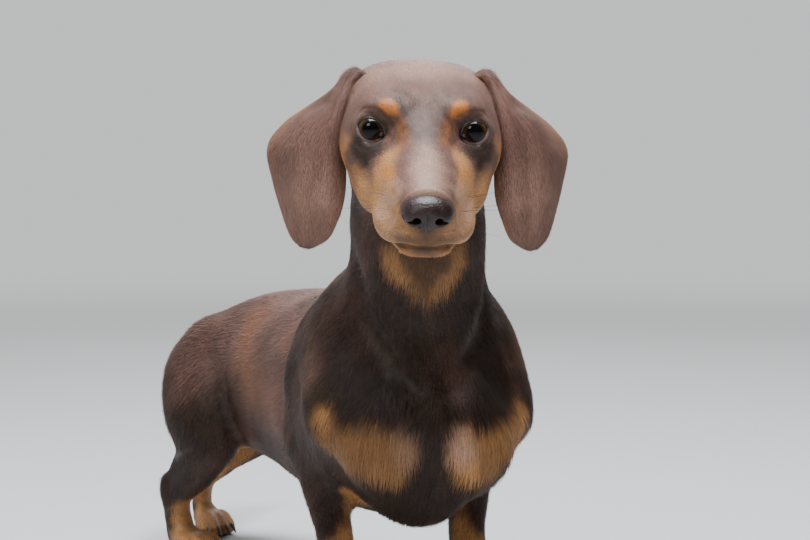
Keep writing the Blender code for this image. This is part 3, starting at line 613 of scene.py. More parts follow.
@dataclass
class DogForm:
    """The whole form as a field: the tips of the coat, and the skin under it."""

    stance: Stance
    coat_depth: float = 0.8

    def __post_init__(self) -> None:
        """Makes the lofts and limbs, and the skin's folds."""
        self.trunk = Loft(TRUNK_ROWS, front_dome=16, back_dome=8)
        self.skull = Loft(HEAD_ROWS, front_dome=9, back_dome=7)
        self.jaw = Loft(JAW_ROWS, front_dome=10, back_dome=6)
        self.neck = Limb(NECK_ROWS, power=2.1, samples=90)
        self.tail = Limb(TAIL_ROWS, samples=60)
        self.fore = [Limb(SHOULDER_ROWS), Limb(UPPER_ARM_ROWS, 14), Limb(TRICEPS_ROWS, 12),
                     Limb(FOREARM_ROWS, 10)]
        self.hind = [Limb(THIGH_ROWS), Limb(SHANK_ROWS, 10), Limb(HOCK_ROWS, 6)]
        self.folds = [Crease(*fold) for fold in NECK_FOLDS]
        self.folds += [Crease([self.stance.bent((hand * x, y, z)) for x, y, z in line], *size)
                       for hand in Hand for line, *size in BODY_FOLDS]
        self.lips = [Crease(np.array(line) * (hand, 1, 1), *size)
                     for line, *size in LIP_FOLDS for hand in Hand]
        self.lips.append(Crease(*LIP_GROOVE))

    def leg(self, q: Points, limbs: list[Limb], paw: Paw) -> Points:
        """Distance to a whole leg."""
        d = limbs[0].distance(q)
        for limb in limbs[1:]:
            d = smin(d, limb.distance(q), limb.run_in)
        return smin(d, paw.distance(q), 5)

    def head(self, p: Points) -> Points:
        """Distance to the head, in its own axes, without eyes and nose leather."""
        d = self.skull.distance(p[:, 0], p[:, 1], p[:, 2])
        for hand in Hand:
            q = p * np.array([hand, 1, 1])
            for muscle in HEAD_MUSCLES:
                d = smin(d, muscle.distance(q), muscle.run_in)
            d = smax(d, -ORBIT_HOLLOW.distance(q), ORBIT_HOLLOW.run_in)
        return smin(d, self.jaw.distance(p[:, 0], p[:, 1], p[:, 2]), 3)

    def regions(self, q: Points) -> Points:
        """Distances to each region of the form, a column each."""
        out = np.full((len(q), len(Region)), FAR)
        p = self.stance.straighten(q)
        low = np.flatnonzero(q[:, 2] < LEG_TOP)
        t = p[low]
        trunk = self.trunk.distance(t[:, 0], t[:, 1], t[:, 2])
        for muscle in (BREASTBONE, KEEL):
            trunk = smin(trunk, muscle.distance(t), muscle.run_in)
        for hand, fore, hind in ((Hand.RIGHT, Region.FORE_RIGHT, Region.HIND_RIGHT),
                                 (Hand.LEFT, Region.FORE_LEFT, Region.HIND_LEFT)):
            m = t * np.array([hand, 1, 1])
            trunk = smin(trunk, BREAST.distance(m), BREAST.run_in)
            trunk = smin(trunk, BUTTOCK.distance(m), BUTTOCK.run_in)
            out[low, fore] = self.leg(m, self.fore, FORE_PAW)
            out[low, hind] = self.leg(self.stance.stepped(m, hand), self.hind, HIND_PAW)
        out[low, Region.TRUNK] = trunk
        out[:, Region.NECK] = self.neck.distance(q)
        out[:, Region.TAIL] = self.tail.distance(q)
        near = np.flatnonzero(norms(q - self.stance.eyes) < HEAD_REACH)
        out[near, Region.HEAD] = self.head(self.stance.of_head(q[near]))
        return out

    def joined(self, r: Points) -> Points:
        """One distance from those of the regions."""
        d = r[:, Region.TRUNK]
        for region, width in JOINS:
            d = smin(d, r[:, region], width)
        return d

    def depth(self, q: Points) -> Points:
        """How deep the coat is at each place: least on the face, the lids and the feet."""
        p = self.stance.of_head(q)
        face = ramp(p[:, 1], -25, 15) * (np.abs(p[:, 2] + 15) < 60)
        feet = 1 - ramp(q[:, 2], 18, 45)
        return self.coat_depth - 0.4 * np.maximum(face, feet)

    def skin(self, q: Points) -> Points:
        """Distance to the skin, with its folds, lids and lips."""
        d = self.joined(self.regions(q)) + self.depth(q)
        for fold in self.folds:
            d -= fold.lift(q)
        near = np.flatnonzero(norms(q - self.stance.on_head(0, 25, -15)) < FACE_REACH)
        if len(near):
            d[near] = self.face(self.stance.of_head(q[near]), d[near])
        return smax(d, 0.15 - q[:, 2], 0.5)

    def face(self, p: Points, d: Points) -> Points:
        """The skin of the face, from its plain form.

        Args:
            p: places in the head's axes.
            d: their distances to the plain form.

        Returns:
            Distances to the skin with lids that wrap the eyes, lips and the seat of the nose.
        """
        for crease in self.lips:
            d = d - crease.lift(p)
        for hand in Hand:
            rim, over, ahead = LIDS.around(p, hand)
            opening = LIDS.centre(hand) + OPENING_AHEAD * np.array(OPENING_WAY) * (hand, 1, 1)
            d = smax(d, OPENING_RADIUS - norms(p - opening), 4)
            d = smin(d, over - LIDS.thickness, 3.0)
            furrow = 0.6 * bell(rim - 2.8, 0.8) + 0.35 * bell(rim - 5.4, 1.0)
            d = d + furrow * ramp(ahead, 0.1, 0.5) * bell(over, 5)
            d = smax(d, -np.maximum(rim, np.maximum(-over - 1.6, over - 12)), 0.6)
        return d


# Surfaces

@dataclass
class Surface:
    """A mesh of triangles in the dog's space, with what the coat needs to know at each point."""

    points: Points
    triangles: Points
    normals: Points | None = None
    lie: Points | None = None
    hair: Points | None = None
    shares: Points | None = None

    def edges(self) -> tuple[Points, Points]:
        """Each edge once, and the three edges of every triangle."""
        t = self.triangles
        pairs = np.sort(np.stack([t, np.roll(t, -1, axis=1)], 2).reshape(-1, 2), axis=1)
        keys = pairs[:, 0].astype(np.int64) * len(self.points) + pairs[:, 1]
        _, first, back = np.unique(keys, return_index=True, return_inverse=True)
        return pairs[first], back.reshape(-1, 3)

    def refined(self, chosen: Points) -> Surface:
        """The surface with the edges between chosen points split in two.

        Args:
            chosen: which points, as true or false.

        Returns:
            A surface whose triangles still meet edge to edge.
        """
        pairs, of_triangle = self.edges()
        split = chosen[pairs].all(1)
        number = np.where(split, np.cumsum(split) - 1 + len(self.points), -1)
        points = np.vstack([self.points, self.points[pairs[split]].mean(1)])
        mids = number[of_triangle]
        count = (mids >= 0).sum(1)
        t = self.triangles
        full = np.hstack([t, mids])[count == 3]
        out = [t[count == 0], *(full[:, pick] for pick in ([0, 3, 5], [1, 4, 3], [2, 5, 4], [3, 4, 5]))]
        for turn in range(3):
            six = np.hstack([np.roll(t, -turn, axis=1), np.roll(mids, -turn, axis=1)])
            one, two = six[(count == 1) & (six[:, 3] >= 0)], six[(count == 2) & (six[:, 5] < 0)]
            out += [one[:, pick] for pick in ([0, 3, 2], [3, 1, 2])]
            out += [two[:, pick] for pick in ([3, 1, 4], [0, 3, 4], [0, 4, 2])]
        return Surface(points, np.vstack(out))

    def eased(self, share: float, fixed: Points | None = None) -> None:
        """Moves each point a share of the way to the mean of its neighbours."""
        pairs, _ = self.edges()
        n = len(self.points)
        count = np.bincount(pairs.ravel(), minlength=n)
        mean = np.stack([np.bincount(pairs[:, 0], self.points[pairs[:, 1], i], n)
                         + np.bincount(pairs[:, 1], self.points[pairs[:, 0], i], n) for i in range(3)], 1)
        mean /= np.maximum(count, 1)[:, None]
        moved = share * (mean - self.points)
        if fixed is not None:
            moved[fixed] = 0
        self.points = self.points + moved

    def settled(self, distance: Callable[[Points], Points], chosen: Points, again: int = 0,
                step: float = 0.2) -> None:
        """Moves chosen points onto the surface of a field.

        Args:
            distance: the field.
            chosen: which points, as true or false.
            again: how many times the way is corrected with the first slope.
            step: how far the slope is felt for.
        """
        p = self.points[chosen]
        d = distance(p)
        slope = np.stack([(distance(p + np.eye(3)[i] * step) - d) / step for i in range(3)], 1)
        square = np.maximum((slope**2).sum(1), 0.3)
        for turn in range(again + 1):
            p = p - slope * np.clip(d / square, -1.5, 1.5)[:, None]
            if turn < again:
                d = distance(p)
        self.points[chosen] = p

    def facing(self) -> Points:
        """The normal at each point, from the triangles round it."""
        a, b, c = (self.points[self.triangles[:, i]] for i in range(3))
        face = np.cross(b - a, c - a)
        n = len(self.points)
        corners = self.triangles.ravel()
        return unit(np.stack([np.bincount(corners, np.repeat(face[:, i], 3), n) for i in range(3)], 1))

    def areas(self) -> Points:
        """The area of each triangle."""
        a, b, c = (self.points[self.triangles[:, i]] for i in range(3))
        return norms(np.cross(b - a, c - a)) / 2


def all_of(runs: Sequence[Points]) -> Points:
    """Every place at which one value of each run is met, one a row."""
    return np.stack(np.meshgrid(*runs, indexing="ij"), -1).reshape(-1, 3)


def polygonised(distance: Callable[[Points], Points], low: Sequence[float], high: Sequence[float],
                spacing: float, block: int = 8) -> Surface:
    """The surface of a field.

    Args:
        distance: the field.
        low: the lowest corner of the box to look in.
        high: its highest corner.
        spacing: between the lines of the grid on which the field is read.
        block: lines in a block; blocks well away from the surface are not read line by line.

    Returns:
        A surface of triangles that faces outwards.
    """
    axes = [np.arange(a, b + spacing, spacing) for a, b in zip(low, high)]
    grid = np.full([len(a) for a in axes], FAR, np.float32)
    starts = all_of([np.arange(0, len(a), block) for a in axes])
    middles = np.stack([a[0] + (starts[:, i] + block / 2 - 0.5) * spacing for i, a in enumerate(axes)], 1)
    reach = spacing * block / 2 * math.sqrt(3) * 1.5 + 2
    d = distance(middles)
    for i, j, k in starts[d < -reach]:
        grid[i:i + block, j:j + block, k:k + block] = -FAR
    inside = all_of([np.arange(block)] * 3)
    cells = (starts[np.abs(d) <= reach][:, None] + inside[None]).reshape(-1, 3)
    cells = cells[np.all(cells < np.array(grid.shape), axis=1)]
    grid[tuple(cells.T)] = distance(np.array([a[0] for a in axes]) + cells * spacing)
    level_set = openvdb.FloatGrid(background=FAR)
    level_set.copyFromArray(grid)
    points, quads = level_set.convertToQuads(0.0)
    quads = quads.astype(int)
    triangles = np.vstack([quads[:, [0, 1, 2]], quads[:, [0, 2, 3]]])
    return Surface(np.array([a[0] for a in axes]) + points * spacing, triangles)


# Pieces

def linked(name: str, data: ID) -> Object:
    """An object with some data, in the scene."""
    out = bpy.data.objects.new(name, data)
    bpy.context.scene.collection.objects.link(out)
    return out


class Workshop:
    """Turns points in the dog's space into objects in place."""

    def __init__(self, stance: Stance) -> None:
        """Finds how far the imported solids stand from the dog's own space."""
        low, high = (np.array(v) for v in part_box("eye_right"))
        self.shift = (low + high) / 2 / MM - stance.on_head(*LIDS.centre(Hand.RIGHT))

    def placed(self, points: Points) -> Points:
        """Points in metres, in the frame of the solids."""
        return (np.asarray(points) + self.shift) * MM

    def mesh(self, name: str, points: Points, faces: Points | list) -> Mesh:
        """A smooth mesh in place from points in the dog's space.

        Args:
            name: its name.
            points: one a row.
            faces: an array of triangles or quads, or a list of faces.

        Returns:
            The mesh.
        """
        out = bpy.data.meshes.new(name)
        if isinstance(faces, list):
            out.from_pydata(self.placed(points).tolist(), [], faces)
        else:
            n, corners = faces.shape
            out.vertices.add(len(points))
            out.vertices.foreach_set("co", self.placed(points).astype(np.float32).ravel())
            out.loops.add(n * corners)
            out.loops.foreach_set("vertex_index", faces.astype(np.int32).ravel())
            out.polygons.add(n)
            out.polygons.foreach_set("loop_start", np.arange(0, n * corners, corners, dtype=np.int32))
            out.update(calc_edges=True)
        out.validate()
        out.shade_smooth()
        return out

    def piece(self, name: str, mesh: Mesh, finish: Material,
              replaces: Sequence[str] = ()) -> Object:
        """A finished piece that rides on the dog.

        Args:
            name: the piece's name.
            mesh: its mesh, in place.
            finish: its material.
            replaces: the nodes that it stands for.

        Returns:
            The object.
        """
        out = linked(name, mesh)
        if finish.name not in mesh.materials:
            mesh.materials.clear()
            mesh.materials.append(finish)
        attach(out, BODY)
        if replaces:
            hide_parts(*replaces)
        LOG.info("%s: %d faces", name, len(mesh.polygons))
        return out


def store(mesh: Mesh, name: str, values: Points) -> None:
    """Writes a vector or colour for each point of a mesh."""
    kind = "FLOAT_COLOR" if values.shape[1] == 4 else "FLOAT_VECTOR"
    layer = mesh.attributes.new(name, kind, "POINT")
    layer.data.foreach_set("color" if kind == "FLOAT_COLOR" else "vector", values.astype(np.float32).ravel())


def tube_faces(rings: int, around: int, closed: bool = False) -> list:
    """Faces of rings of points joined into a tube, with capped ends unless it closes on itself."""
    faces = []
    for i in range(rings if closed else rings - 1):
        a, b = i * around, (i + 1) % rings * around
        faces += [(a + j, a + (j + 1) % around, b + (j + 1) % around, b + j) for j in range(around)]
    if not closed:
        faces += [tuple(range(around))[::-1], tuple(range((rings - 1) * around, rings * around))]
    return faces


def facing_out(mesh: Mesh) -> Mesh:
    """The mesh with its faces turned outwards."""
    shape = bmesh.new()
    shape.from_mesh(mesh)
    bmesh.ops.recalc_face_normals(shape, faces=shape.faces)
    shape.to_mesh(mesh)
    shape.free()
    return mesh


# Markings, painted shade and painted highlights, and lie of the coat

class Tone(IntEnum):
    """The colours of the markings and of the painted shade and highlights, as channels of one attribute."""

    TAN = 0
    PALE = 1
    DARK = 2
    RUST = 3


class Axes(Enum):
    """The axes in which a marking is given."""

    PLACE = "place"
    BODY = "body"
    HEAD = "head"
    FACE = "face"


# a patch is either a marking of the coat or painted shade, sheen or highlight, as told at each one
@dataclass(frozen=True)
class Marking:
    """A patch of colour round a line, with an irregular edge.

    Each point of the line has its own reach; a mark on both sides is given on the left.
    """

    tone: Tone
    axes: Axes
    line: tuple
    amount: float = 1.0
    soft: float = 2.5
    ragged: float = 1.2
    both: bool = True

    def strength(self, q: Points, noise: Points) -> Points:
        """How much of the tone lies at each place, from 0 to 1.

        Args:
            q: places in the mark's own axes.
            noise: an irregular pattern at the same places.

        Returns:
            One number for each place.
        """
        knots = smooth_rows(self.line, 6 * len(self.line))
        out = np.full(len(q), -FAR)
        for side in ((1, -1) if self.both else (1,)):
            m = q * np.array([side, 1, 1])
            near = np.flatnonzero(norms(m - knots[:, :3].mean(0)) < MARK_REACH)
            for x, y, z, reach in knots:
                d = reach - norms(m[near] - (x, y, z))
                out[near] = np.maximum(out[near], d)
        return self.amount * ramp(out + self.ragged * noise, -self.soft, self.soft)


MARK_REACH = 90             # from the middle of a marking's line
TAN, PALE, DARK, RUST = Tone
IN_PLACE, OF_BODY, OF_HEAD, OF_FACE = Axes
# coat markings, with patches of painted shade, sheen and highlight among them
MARKINGS_AND_SHADING = (
    # the muzzle, chin and cheeks
    Marking(TAN, OF_HEAD, ((17, 27, -5, 6), (20, 35, -12, 10), (19, 45, -17, 12), (14, 56, -22, 12),
                           (7, 64, -27, 9)), 0.95, 4),
    Marking(TAN, OF_HEAD, ((28, 12, -22, 7), (26, 26, -27, 9), (22, 42, -30, 11), (14, 58, -34, 11)), 0.9, 4),
    Marking(TAN, OF_HEAD, ((0, 24, -45, 15), (0, 50, -43, 15)), 0.5, 4, both=False),
    Marking(TAN, OF_HEAD, ((39, 0, -8, 2), (39, -4, -18, 7), (34, -2, -30, 9), (31, 8, -28, 8)), 0.75, 5),
    # painted highlight: a pale stripe along the top of the bridge, where light from above catches it
    Marking(PALE, OF_HEAD, ((0, 31, 7, 2), (0, 38, 5, 5), (0, 47, 2, 8), (0, 60, -3, 9.5)),
            0.75, 6, both=False),
    Marking(PALE, OF_HEAD, ((13, 54, -10, 5), (16, 50, -20, 9), (13, 60, -26, 7)), 0.7, 5, 3.0),
    # painted sheen: a paler patch on top of the crown, where light from above catches the coat
    Marking(PALE, OF_HEAD, ((-20, -30, 14, 8), (0, -32, 18, 12), (20, -30, 14, 8)), 0.45, 9, both=False),
    Marking(DARK, OF_HEAD, ((0, -4, 16, 6), (0, 8, 12, 9), (0, 20, 9, 4)), 0.48, 8, 6.0, both=False),
    # under the eyes, on the brows and down the sides of the bridge
    Marking(DARK, OF_FACE, ((35, 4, -9.5, 3.6), (29.5, 9, -11.5, 5.6), (23.5, 14, -10.5, 3.8)), 0.9, 2.2),
    Marking(DARK, OF_FACE, ((29, 9, -12, 5.6), (29, 10, -18.5, 2.6)), 0.9, 2.2),
    Marking(RUST, OF_FACE, ((18.6, 10, 11.6, 4.2), (16.8, 11, 8.2, 3.4), (15.8, 12, 5.2, 1.8)),
            0.95, 2.0, 0.8),
    Marking(RUST, OF_HEAD, ((20.5, 32, -7, 2.8), (18.5, 41, -6, 3.2)), 0.6, 2.5),
    Marking(RUST, OF_HEAD, ((12, 12, 7, 3), (11, 24, 5, 3)), 0.3, 4),
    Marking(RUST, OF_HEAD, ((0, -4, 18, 9), (0, 12, 12, 9)), 0.1, 5, 3.0, both=False),
    Marking(RUST, OF_HEAD, ((37.5, 0, -14, 3), (38, -6, -22, 3)), 0.4, 3),
    Marking(DARK, OF_HEAD, ((25, 16, -31, 1.6), (22.5, 34, -34.5, 1.8), (18.5, 52, -35.6, 2),
            (9.5, 64, -34.6, 1.6), (0, 66, -34.4, 1.6)), 0.85, 1.0, 0.2),
    Marking(DARK, OF_HEAD, ((0, 68, -21, 7), (0, 68, -30, 6)), 0.65, 5, 0.4),
    Marking(DARK, OF_HEAD, ((0, 69, -29, 5), (7, 68.5, -28.8, 4), (13, 67.5, -29, 2.6)), 0.7, 3, 0.8),
    Marking(TAN, OF_HEAD, ((0, 60, -41, 6), (8, 57, -41, 6)), 0.7, 3, 0.4),
    # painted shade on the sides of the head, under the front edges of the ears
    Marking(DARK, OF_HEAD, ((36, -24, 24, 4), (39.5, -24, 12, 5), (41, -22, 0, 5), (41.5, -18, -12, 4)),
            0.85, 2.5),
    # throat, chest and legs
    Marking(TAN, OF_BODY, ((-23, -77, 196, 5), (-23, -77, 188, 5), (-16, -81, 178, 5), (-6, -80, 170, 4)),
            0.6, 4, both=False),
    Marking(TAN, OF_BODY, ((9, -80, 196, 5), (10, -80, 188, 5), (4, -80, 178, 5), (-4, -80, 170, 4)),
            0.6, 4, both=False),
    Marking(TAN, OF_BODY, ((-7, -84, 197, 16), (-7, -83, 186, 12)), 0.14, 6, both=False),
    Marking(TAN, OF_BODY, ((-55, -49, 107, 6), (-51, -50, 100, 8), (-44, -62, 92, 12), (-32, -72, 92, 13),
            (-22, -78, 91, 11)), 0.42, 5, both=False),
    # the brightest spot of the right tan chest patch: a marking, partly painted highlight
    Marking(TAN, OF_BODY, ((-54, -51, 109, 5), (-50, -52, 102, 5)), 0.85, 5, both=False),
    Marking(TAN, OF_BODY, ((14, -82, 96, 8), (20, -80, 90, 12), (32, -74, 93, 11), (44, -64, 100, 9),
            (51, -56, 107, 5)), 0.55, 4, both=False),
    # the brightest spots of the left tan chest patch, this mark and the next: a marking, partly painted
    # highlight
    Marking(TAN, OF_BODY, ((50, -57, 108, 6), (52, -57, 100, 5)), 0.8, 5, both=False),
    Marking(TAN, OF_BODY, ((13, -83, 98, 7), (15, -82, 88, 9), (20, -76, 80, 7)), 0.95, 5, both=False),
    Marking(TAN, OF_BODY, ((22, -74, 81, 8), (30, -72, 84, 8)), 0.5, 4),
    Marking(PALE, OF_BODY, ((-18, -82, 98, 6), (-18, -82, 88, 6)), 0.3, 5, both=False),
    # the paler inner part of the left chest patch: a marking, partly painted highlight
    Marking(PALE, OF_BODY, ((11, -84, 100, 6), (14, -82, 90, 8)), 0.95, 5, both=False),
    # painted shadow in the hollows between the neck and the shoulders, this mark and the next
    Marking(DARK, OF_BODY, ((-47, -46, 140, 5), (-40, -55, 128, 10), (-27, -69, 124, 8),
            (-16, -78, 119, 4)), 0.6, 8, both=False),
    Marking(DARK, OF_BODY, ((32, -58, 144, 4), (30, -64, 130, 8), (38, -60, 122, 8), (22, -76, 120, 6)),
            0.6, 8, both=False),
    # painted sheen on the tops of the shoulders, this mark and the next
    Marking(PALE, OF_BODY, ((-58, -28, 152, 5), (-58, -36, 136, 7), (-56, -42, 124, 4)), 0.16, 9, both=False),
    Marking(TAN, OF_BODY, ((52, -30, 152, 5), (55, -38, 136, 7)), 0.12, 9, both=False),
    # painted highlights along the ridges of the neck folds, this mark and the next
    Marking(RUST, OF_BODY, ((-35, -52, 176, 0.8), (-31, -57, 157, 0.8), (-22, -65, 141, 0.8),
            (-14, -75, 127, 0.8)), 0.4, 2, both=False),
    Marking(RUST, OF_BODY, ((25, -64, 160, 0.8), (19, -68, 143, 0.8), (14, -73, 131, 0.8)),
            0.3, 2, both=False),
    Marking(TAN, OF_BODY, ((26, -12, 62, 9), (26, -14, 46, 10), (31, -18, 30, 13)), 0.9, 3),
    Marking(TAN, OF_BODY, ((38, -14, 24, 13), (40, -26, 8, 19)), 0.95, 4),
    # painted highlight: a thin line of light along the rear edge of the shoulders
    Marking(RUST, OF_BODY, ((46, 56, 148, 1), (53, 42, 134, 1), (61, 14, 112, 1), (60, 12, 90, 1)), 0.22, 5),
    Marking(RUST, OF_BODY, ((40, 130, 150, 12), (46, 120, 120, 14), (48, 90, 110, 14), (46, 60, 104, 12)),
            0.16, 16),
    # painted shade along the crease in front of the thighs
    Marking(DARK, OF_BODY, ((40, 178, 140, 3), (46, 174, 112, 4), (48, 172, 84, 4)), 0.6, 7),
)
HIND_MARKINGS = (
    Marking(TAN, OF_BODY, ((22, 168, 100, 9), (22, 176, 74, 10), (26, 196, 52, 9), (25, 212, 34, 10)),
            0.85, 3),
    Marking(TAN, OF_BODY, ((31, 216, 26, 10), (32, 206, 8, 18)), 0.95, 4),
    Marking(RUST, OF_BODY, ((28, 214, 46, 6), (27, 212, 34, 7)), 0.5, 3),
)
VENT_MARKING = Marking(TAN, IN_PLACE, ((-34, 226, 108, 9), (-35, 224, 98, 10)), 0.9, 3, both=False)


@dataclass
class Coat:
    """How the coat of the dog lies, how long and close it is, and what colour it has."""

    form: DogForm
    lengths: dict = field(default_factory=lambda: {
        Region.TRUNK: 8.5, Region.NECK: 7.0, Region.HEAD: 4.2, Region.TAIL: 7.5, Region.FORE_RIGHT: 6.0,
        Region.FORE_LEFT: 6.0, Region.HIND_RIGHT: 6.5, Region.HIND_LEFT: 6.5})
    plain: float = 0.74
    blend: float = 7.0
    number: float = 11.5
    thinning: float = 1.22

    def shares(self, regions: Points) -> Points:
        """How much of each region there is at each place, from the distances to them."""
        near = regions - regions.min(1, keepdims=True)
        weight = np.exp(-near / self.blend)
        return weight / weight.sum(1, keepdims=True)

    def flows(self, q: Points) -> Points:
        """The direction of the hairs in each region, one vector for each place and region."""
        stance = self.form.stance
        out = np.zeros((len(q), len(Region), 3))
        _, slope = stance.spine(q[:, 1])
        back = np.stack([slope, np.ones(len(q)), np.full(len(q), -0.22)], 1)
        down = np.tile((0.0, 0.25, -1.0), (len(q), 1))
        front = ramp(q[:, 1], -22, -58)[:, None]
        seat = ramp(q[:, 1], 195, 222)[:, None]
        out[:, Region.TRUNK] = back * (1 - front) * (1 - seat) + down * front + seat * (0, 0.1, -1)
        span, _ = self.form.neck.nearest(q)
        out[:, Region.NECK] = -self.form.neck.along[span] + (0, 0.12, 0)
        span, _ = self.form.tail.nearest(q)
        out[:, Region.TAIL] = self.form.tail.along[span]
        toes = (1 - ramp(q[:, 2], 14, 26))[:, None]
        fore = np.array([0, 0.3, -1.0]) * (1 - toes) + toes * (0, -1.0, -0.35)
        hind = np.array([0, 0.45, -1.0]) * (1 - toes) + toes * (0, -1.0, -0.35)
        for region in (Region.FORE_RIGHT, Region.FORE_LEFT):
            out[:, region] = fore
        for region in (Region.HIND_RIGHT, Region.HIND_LEFT):
            out[:, region] = hind
        p = stance.of_head(q)
        side = np.clip(p[:, 0] / 26, -1, 1)
        low = 1 - ramp(p[:, 2], -24, 4)
        flow = np.stack([0.35 * side * ramp(p[:, 1], 70, 10), -np.ones(len(q)), -0.5 * low - 0.1], 1)
        out[:, Region.HEAD] = flow @ stance.head.T
        return out

    def lie(self, q: Points, normals: Points, regions: Points) -> Points:
        """The direction of the hairs along the skin."""
        flow = (self.flows(q) * self.shares(regions)[:, :, None]).sum(1)
        p = self.form.stance.of_head(q)
        for hand in Hand:
            v = p - LIDS.centre(hand)
            rim, _, _ = LIDS.around(p, hand)
            near = np.exp(-np.clip(rim, 0, None) / 4.0) * (norms(v) < 20)
            away = v - (v @ LIDS.axes(hand)[:, 2])[:, None] * LIDS.axes(hand)[:, 2]
            flow += 1.6 * near[:, None] * (unit(away) @ self.form.stance.head.T)
        flow += 0.12 * np.stack([waves(q, 34, s) for s in (11, 12, 13)], 1)
        return flat_on(normals, flow)

    def hair(self, q: Points, regions: Points) -> Points:
        """Length of the hairs and how many stand on a square millimetre."""
        share = self.shares(regions)
        length = sum(share[:, region] * value for region, value in self.lengths.items())
        p = self.form.stance.of_head(q)
        of_head = share[:, Region.HEAD]
        front = of_head * ramp(p[:, 1], -34, 18)
        length = length * (1 - 0.42 * front)
        eye, nose = LIDS.gap(p), norms(p - (0, 68, -12))
        length = length * (0.5 + 0.5 * ramp(eye, 10, 24)) * (0.62 + 0.38 * ramp(nose, 12, 34))
        length = length * (0.42 + 0.58 * ramp(q[:, 2], 10, 62))
        return np.stack([length, self.number / np.maximum(length, 1.6) ** self.thinning], 1)

    def marks(self, q: Points) -> Points:
        """The markings, painted shade and painted highlights at each place, a channel for each tone."""
        stance = self.form.stance
        noise = 0.7 * waves(q, 7.5, 21) + 0.5 * waves(q, 2.6, 22)
        straight = stance.straighten(q)
        places = {IN_PLACE: q, OF_BODY: straight, OF_HEAD: stance.of_head(q), OF_FACE: stance.of_face(q)}
        out = np.zeros((len(q), 4))
        head = norms(places[OF_HEAD]) < 110
        for mark in (*MARKINGS_AND_SHADING, VENT_MARKING):
            value = mark.strength(places[mark.axes], noise)
            if mark.axes in (OF_HEAD, OF_FACE):
                value = value * head
            out[:, mark.tone] = np.maximum(out[:, mark.tone], value)
        for hand in Hand:
            stepped = stance.stepped(straight * np.array([hand, 1, 1]), hand)
            side = ramp(straight[:, 0] * hand, -6, 6)
            for mark in HIND_MARKINGS:
                value = side * mark.strength(stepped, noise)
                out[:, mark.tone] = np.maximum(out[:, mark.tone], value)
        soles = 1 - ramp(q[:, 2], 0.6, 2.4)
        out[:, DARK] = np.maximum(out[:, DARK], soles)
        return out

    def grain(self, q: Points, seed: int, shares: Points | None = None) -> Points:
        """Random brightness and warmth of each hair, and the broad light and dark of the coat: random tone, a
        darker mottled forehead, and painted shade and sheen by region.
        """
        rng = np.random.default_rng(seed)
        straight, p = self.form.stance.straighten(q), self.form.stance.of_head(q)
        broad = 0.13 * waves(q, 46, 31) + 0.07 * waves(q, 14, 32)
        # the ears take the plain level of the head, lighter than most of the body: partly painted sheen
        if shares is None:
            broad += self.plain
        else:
            # painted shade and sheen by region: the chest, belly, front of the neck, forelegs and lower hind
            # legs are darker, and the top of the back and the head lighter, as light from above falls on them
            front = ramp(straight[:, 1], -50, 70)
            height = q[:, 2]
            trunk = 0.03 + (0.46 - 0.4 * (1 - ramp(height, 70, 140)) + 0.12 * ramp(height, 150, 172)) * front
            low = 0.34 - 0.34 * (1 - ramp(height, 70, 135))
            neck = 0.02 + 0.46 * ramp(q[:, 1], -50, 0)
            level = {Region.TRUNK: trunk, Region.NECK: neck, Region.HEAD: self.plain, Region.TAIL: 0.4,
                     Region.FORE_RIGHT: 0.06, Region.FORE_LEFT: 0.06, Region.HIND_RIGHT: low,
                     Region.HIND_LEFT: low}
            for region, value in level.items():
                broad += shares[:, region] * value
            brow = np.exp(-((p[:, 0] / 21) ** 2 + ((p[:, 1] - 7) / 17) ** 2)) * (p[:, 2] > 0)
            broad -= (0.52 + 0.34 * waves(q, 4.5, 33)) * brow
        return np.stack([rng.random(len(q)), rng.random(len(q)), np.clip(broad, 0, 1)], 1)


# The pieces of the dog

@dataclass
class Skin:
    """The skin of the whole dog but its ears, as one closed surface."""

    form: DogForm
    coat: Coat
    spacing: float = 2.6
    low: tuple = (-112, -207, -5)
    high: tuple = (102, 402, 306)

    def first(self, q: Points) -> Points:
        """Where the skin is made finer once: the face and the feet."""
        p = self.form.stance.of_head(q)
        return ((p[:, 1] > -34) & (norms(p) < 100)) | (q[:, 2] < 26)

    def second(self, q: Points) -> Points:
        """Where it is made finer again: round the eyes, the mouth and the nose."""
        p = self.form.stance.of_head(q)
        lips = (np.abs(p[:, 2] + 34.5) < 5) & (p[:, 1] > 8) & (norms(p) < 90)
        return (LIDS.gap(p) < 17) | lips | (norms(p - (0, 68, -16)) < 20)

    def third(self, q: Points) -> Points:
        """Where it is finest: along the edges of the lids."""
        p = self.form.stance.of_head(q)
        out = np.zeros(len(q), bool)
        for hand in Hand:
            rim, over, _ = LIDS.around(p, hand)
            out |= (np.abs(rim) < 2.2) & (np.abs(over) < 4)
        return out

    def surface(self) -> Surface:
        """Builds the surface and gives it what the coat needs."""
        out = polygonised(self.form.skin, self.low, self.high, self.spacing)
        out.eased(0.5)
        out.settled(self.form.skin, np.ones(len(out.points), bool))
        for finer in (self.first, self.second, self.third):
            out = out.refined(finer(out.points))
            chosen = finer(out.points)
            for _ in range(2):
                out.eased(0.4, ~chosen)
                out.settled(self.form.skin, chosen, 1)
        out.normals = out.facing()
        regions = self.form.regions(out.points)
        out.lie = self.coat.lie(out.points, out.normals, regions)
        out.hair = self.coat.hair(out.points, regions)
        out.shares = self.coat.shares(regions)
        return out


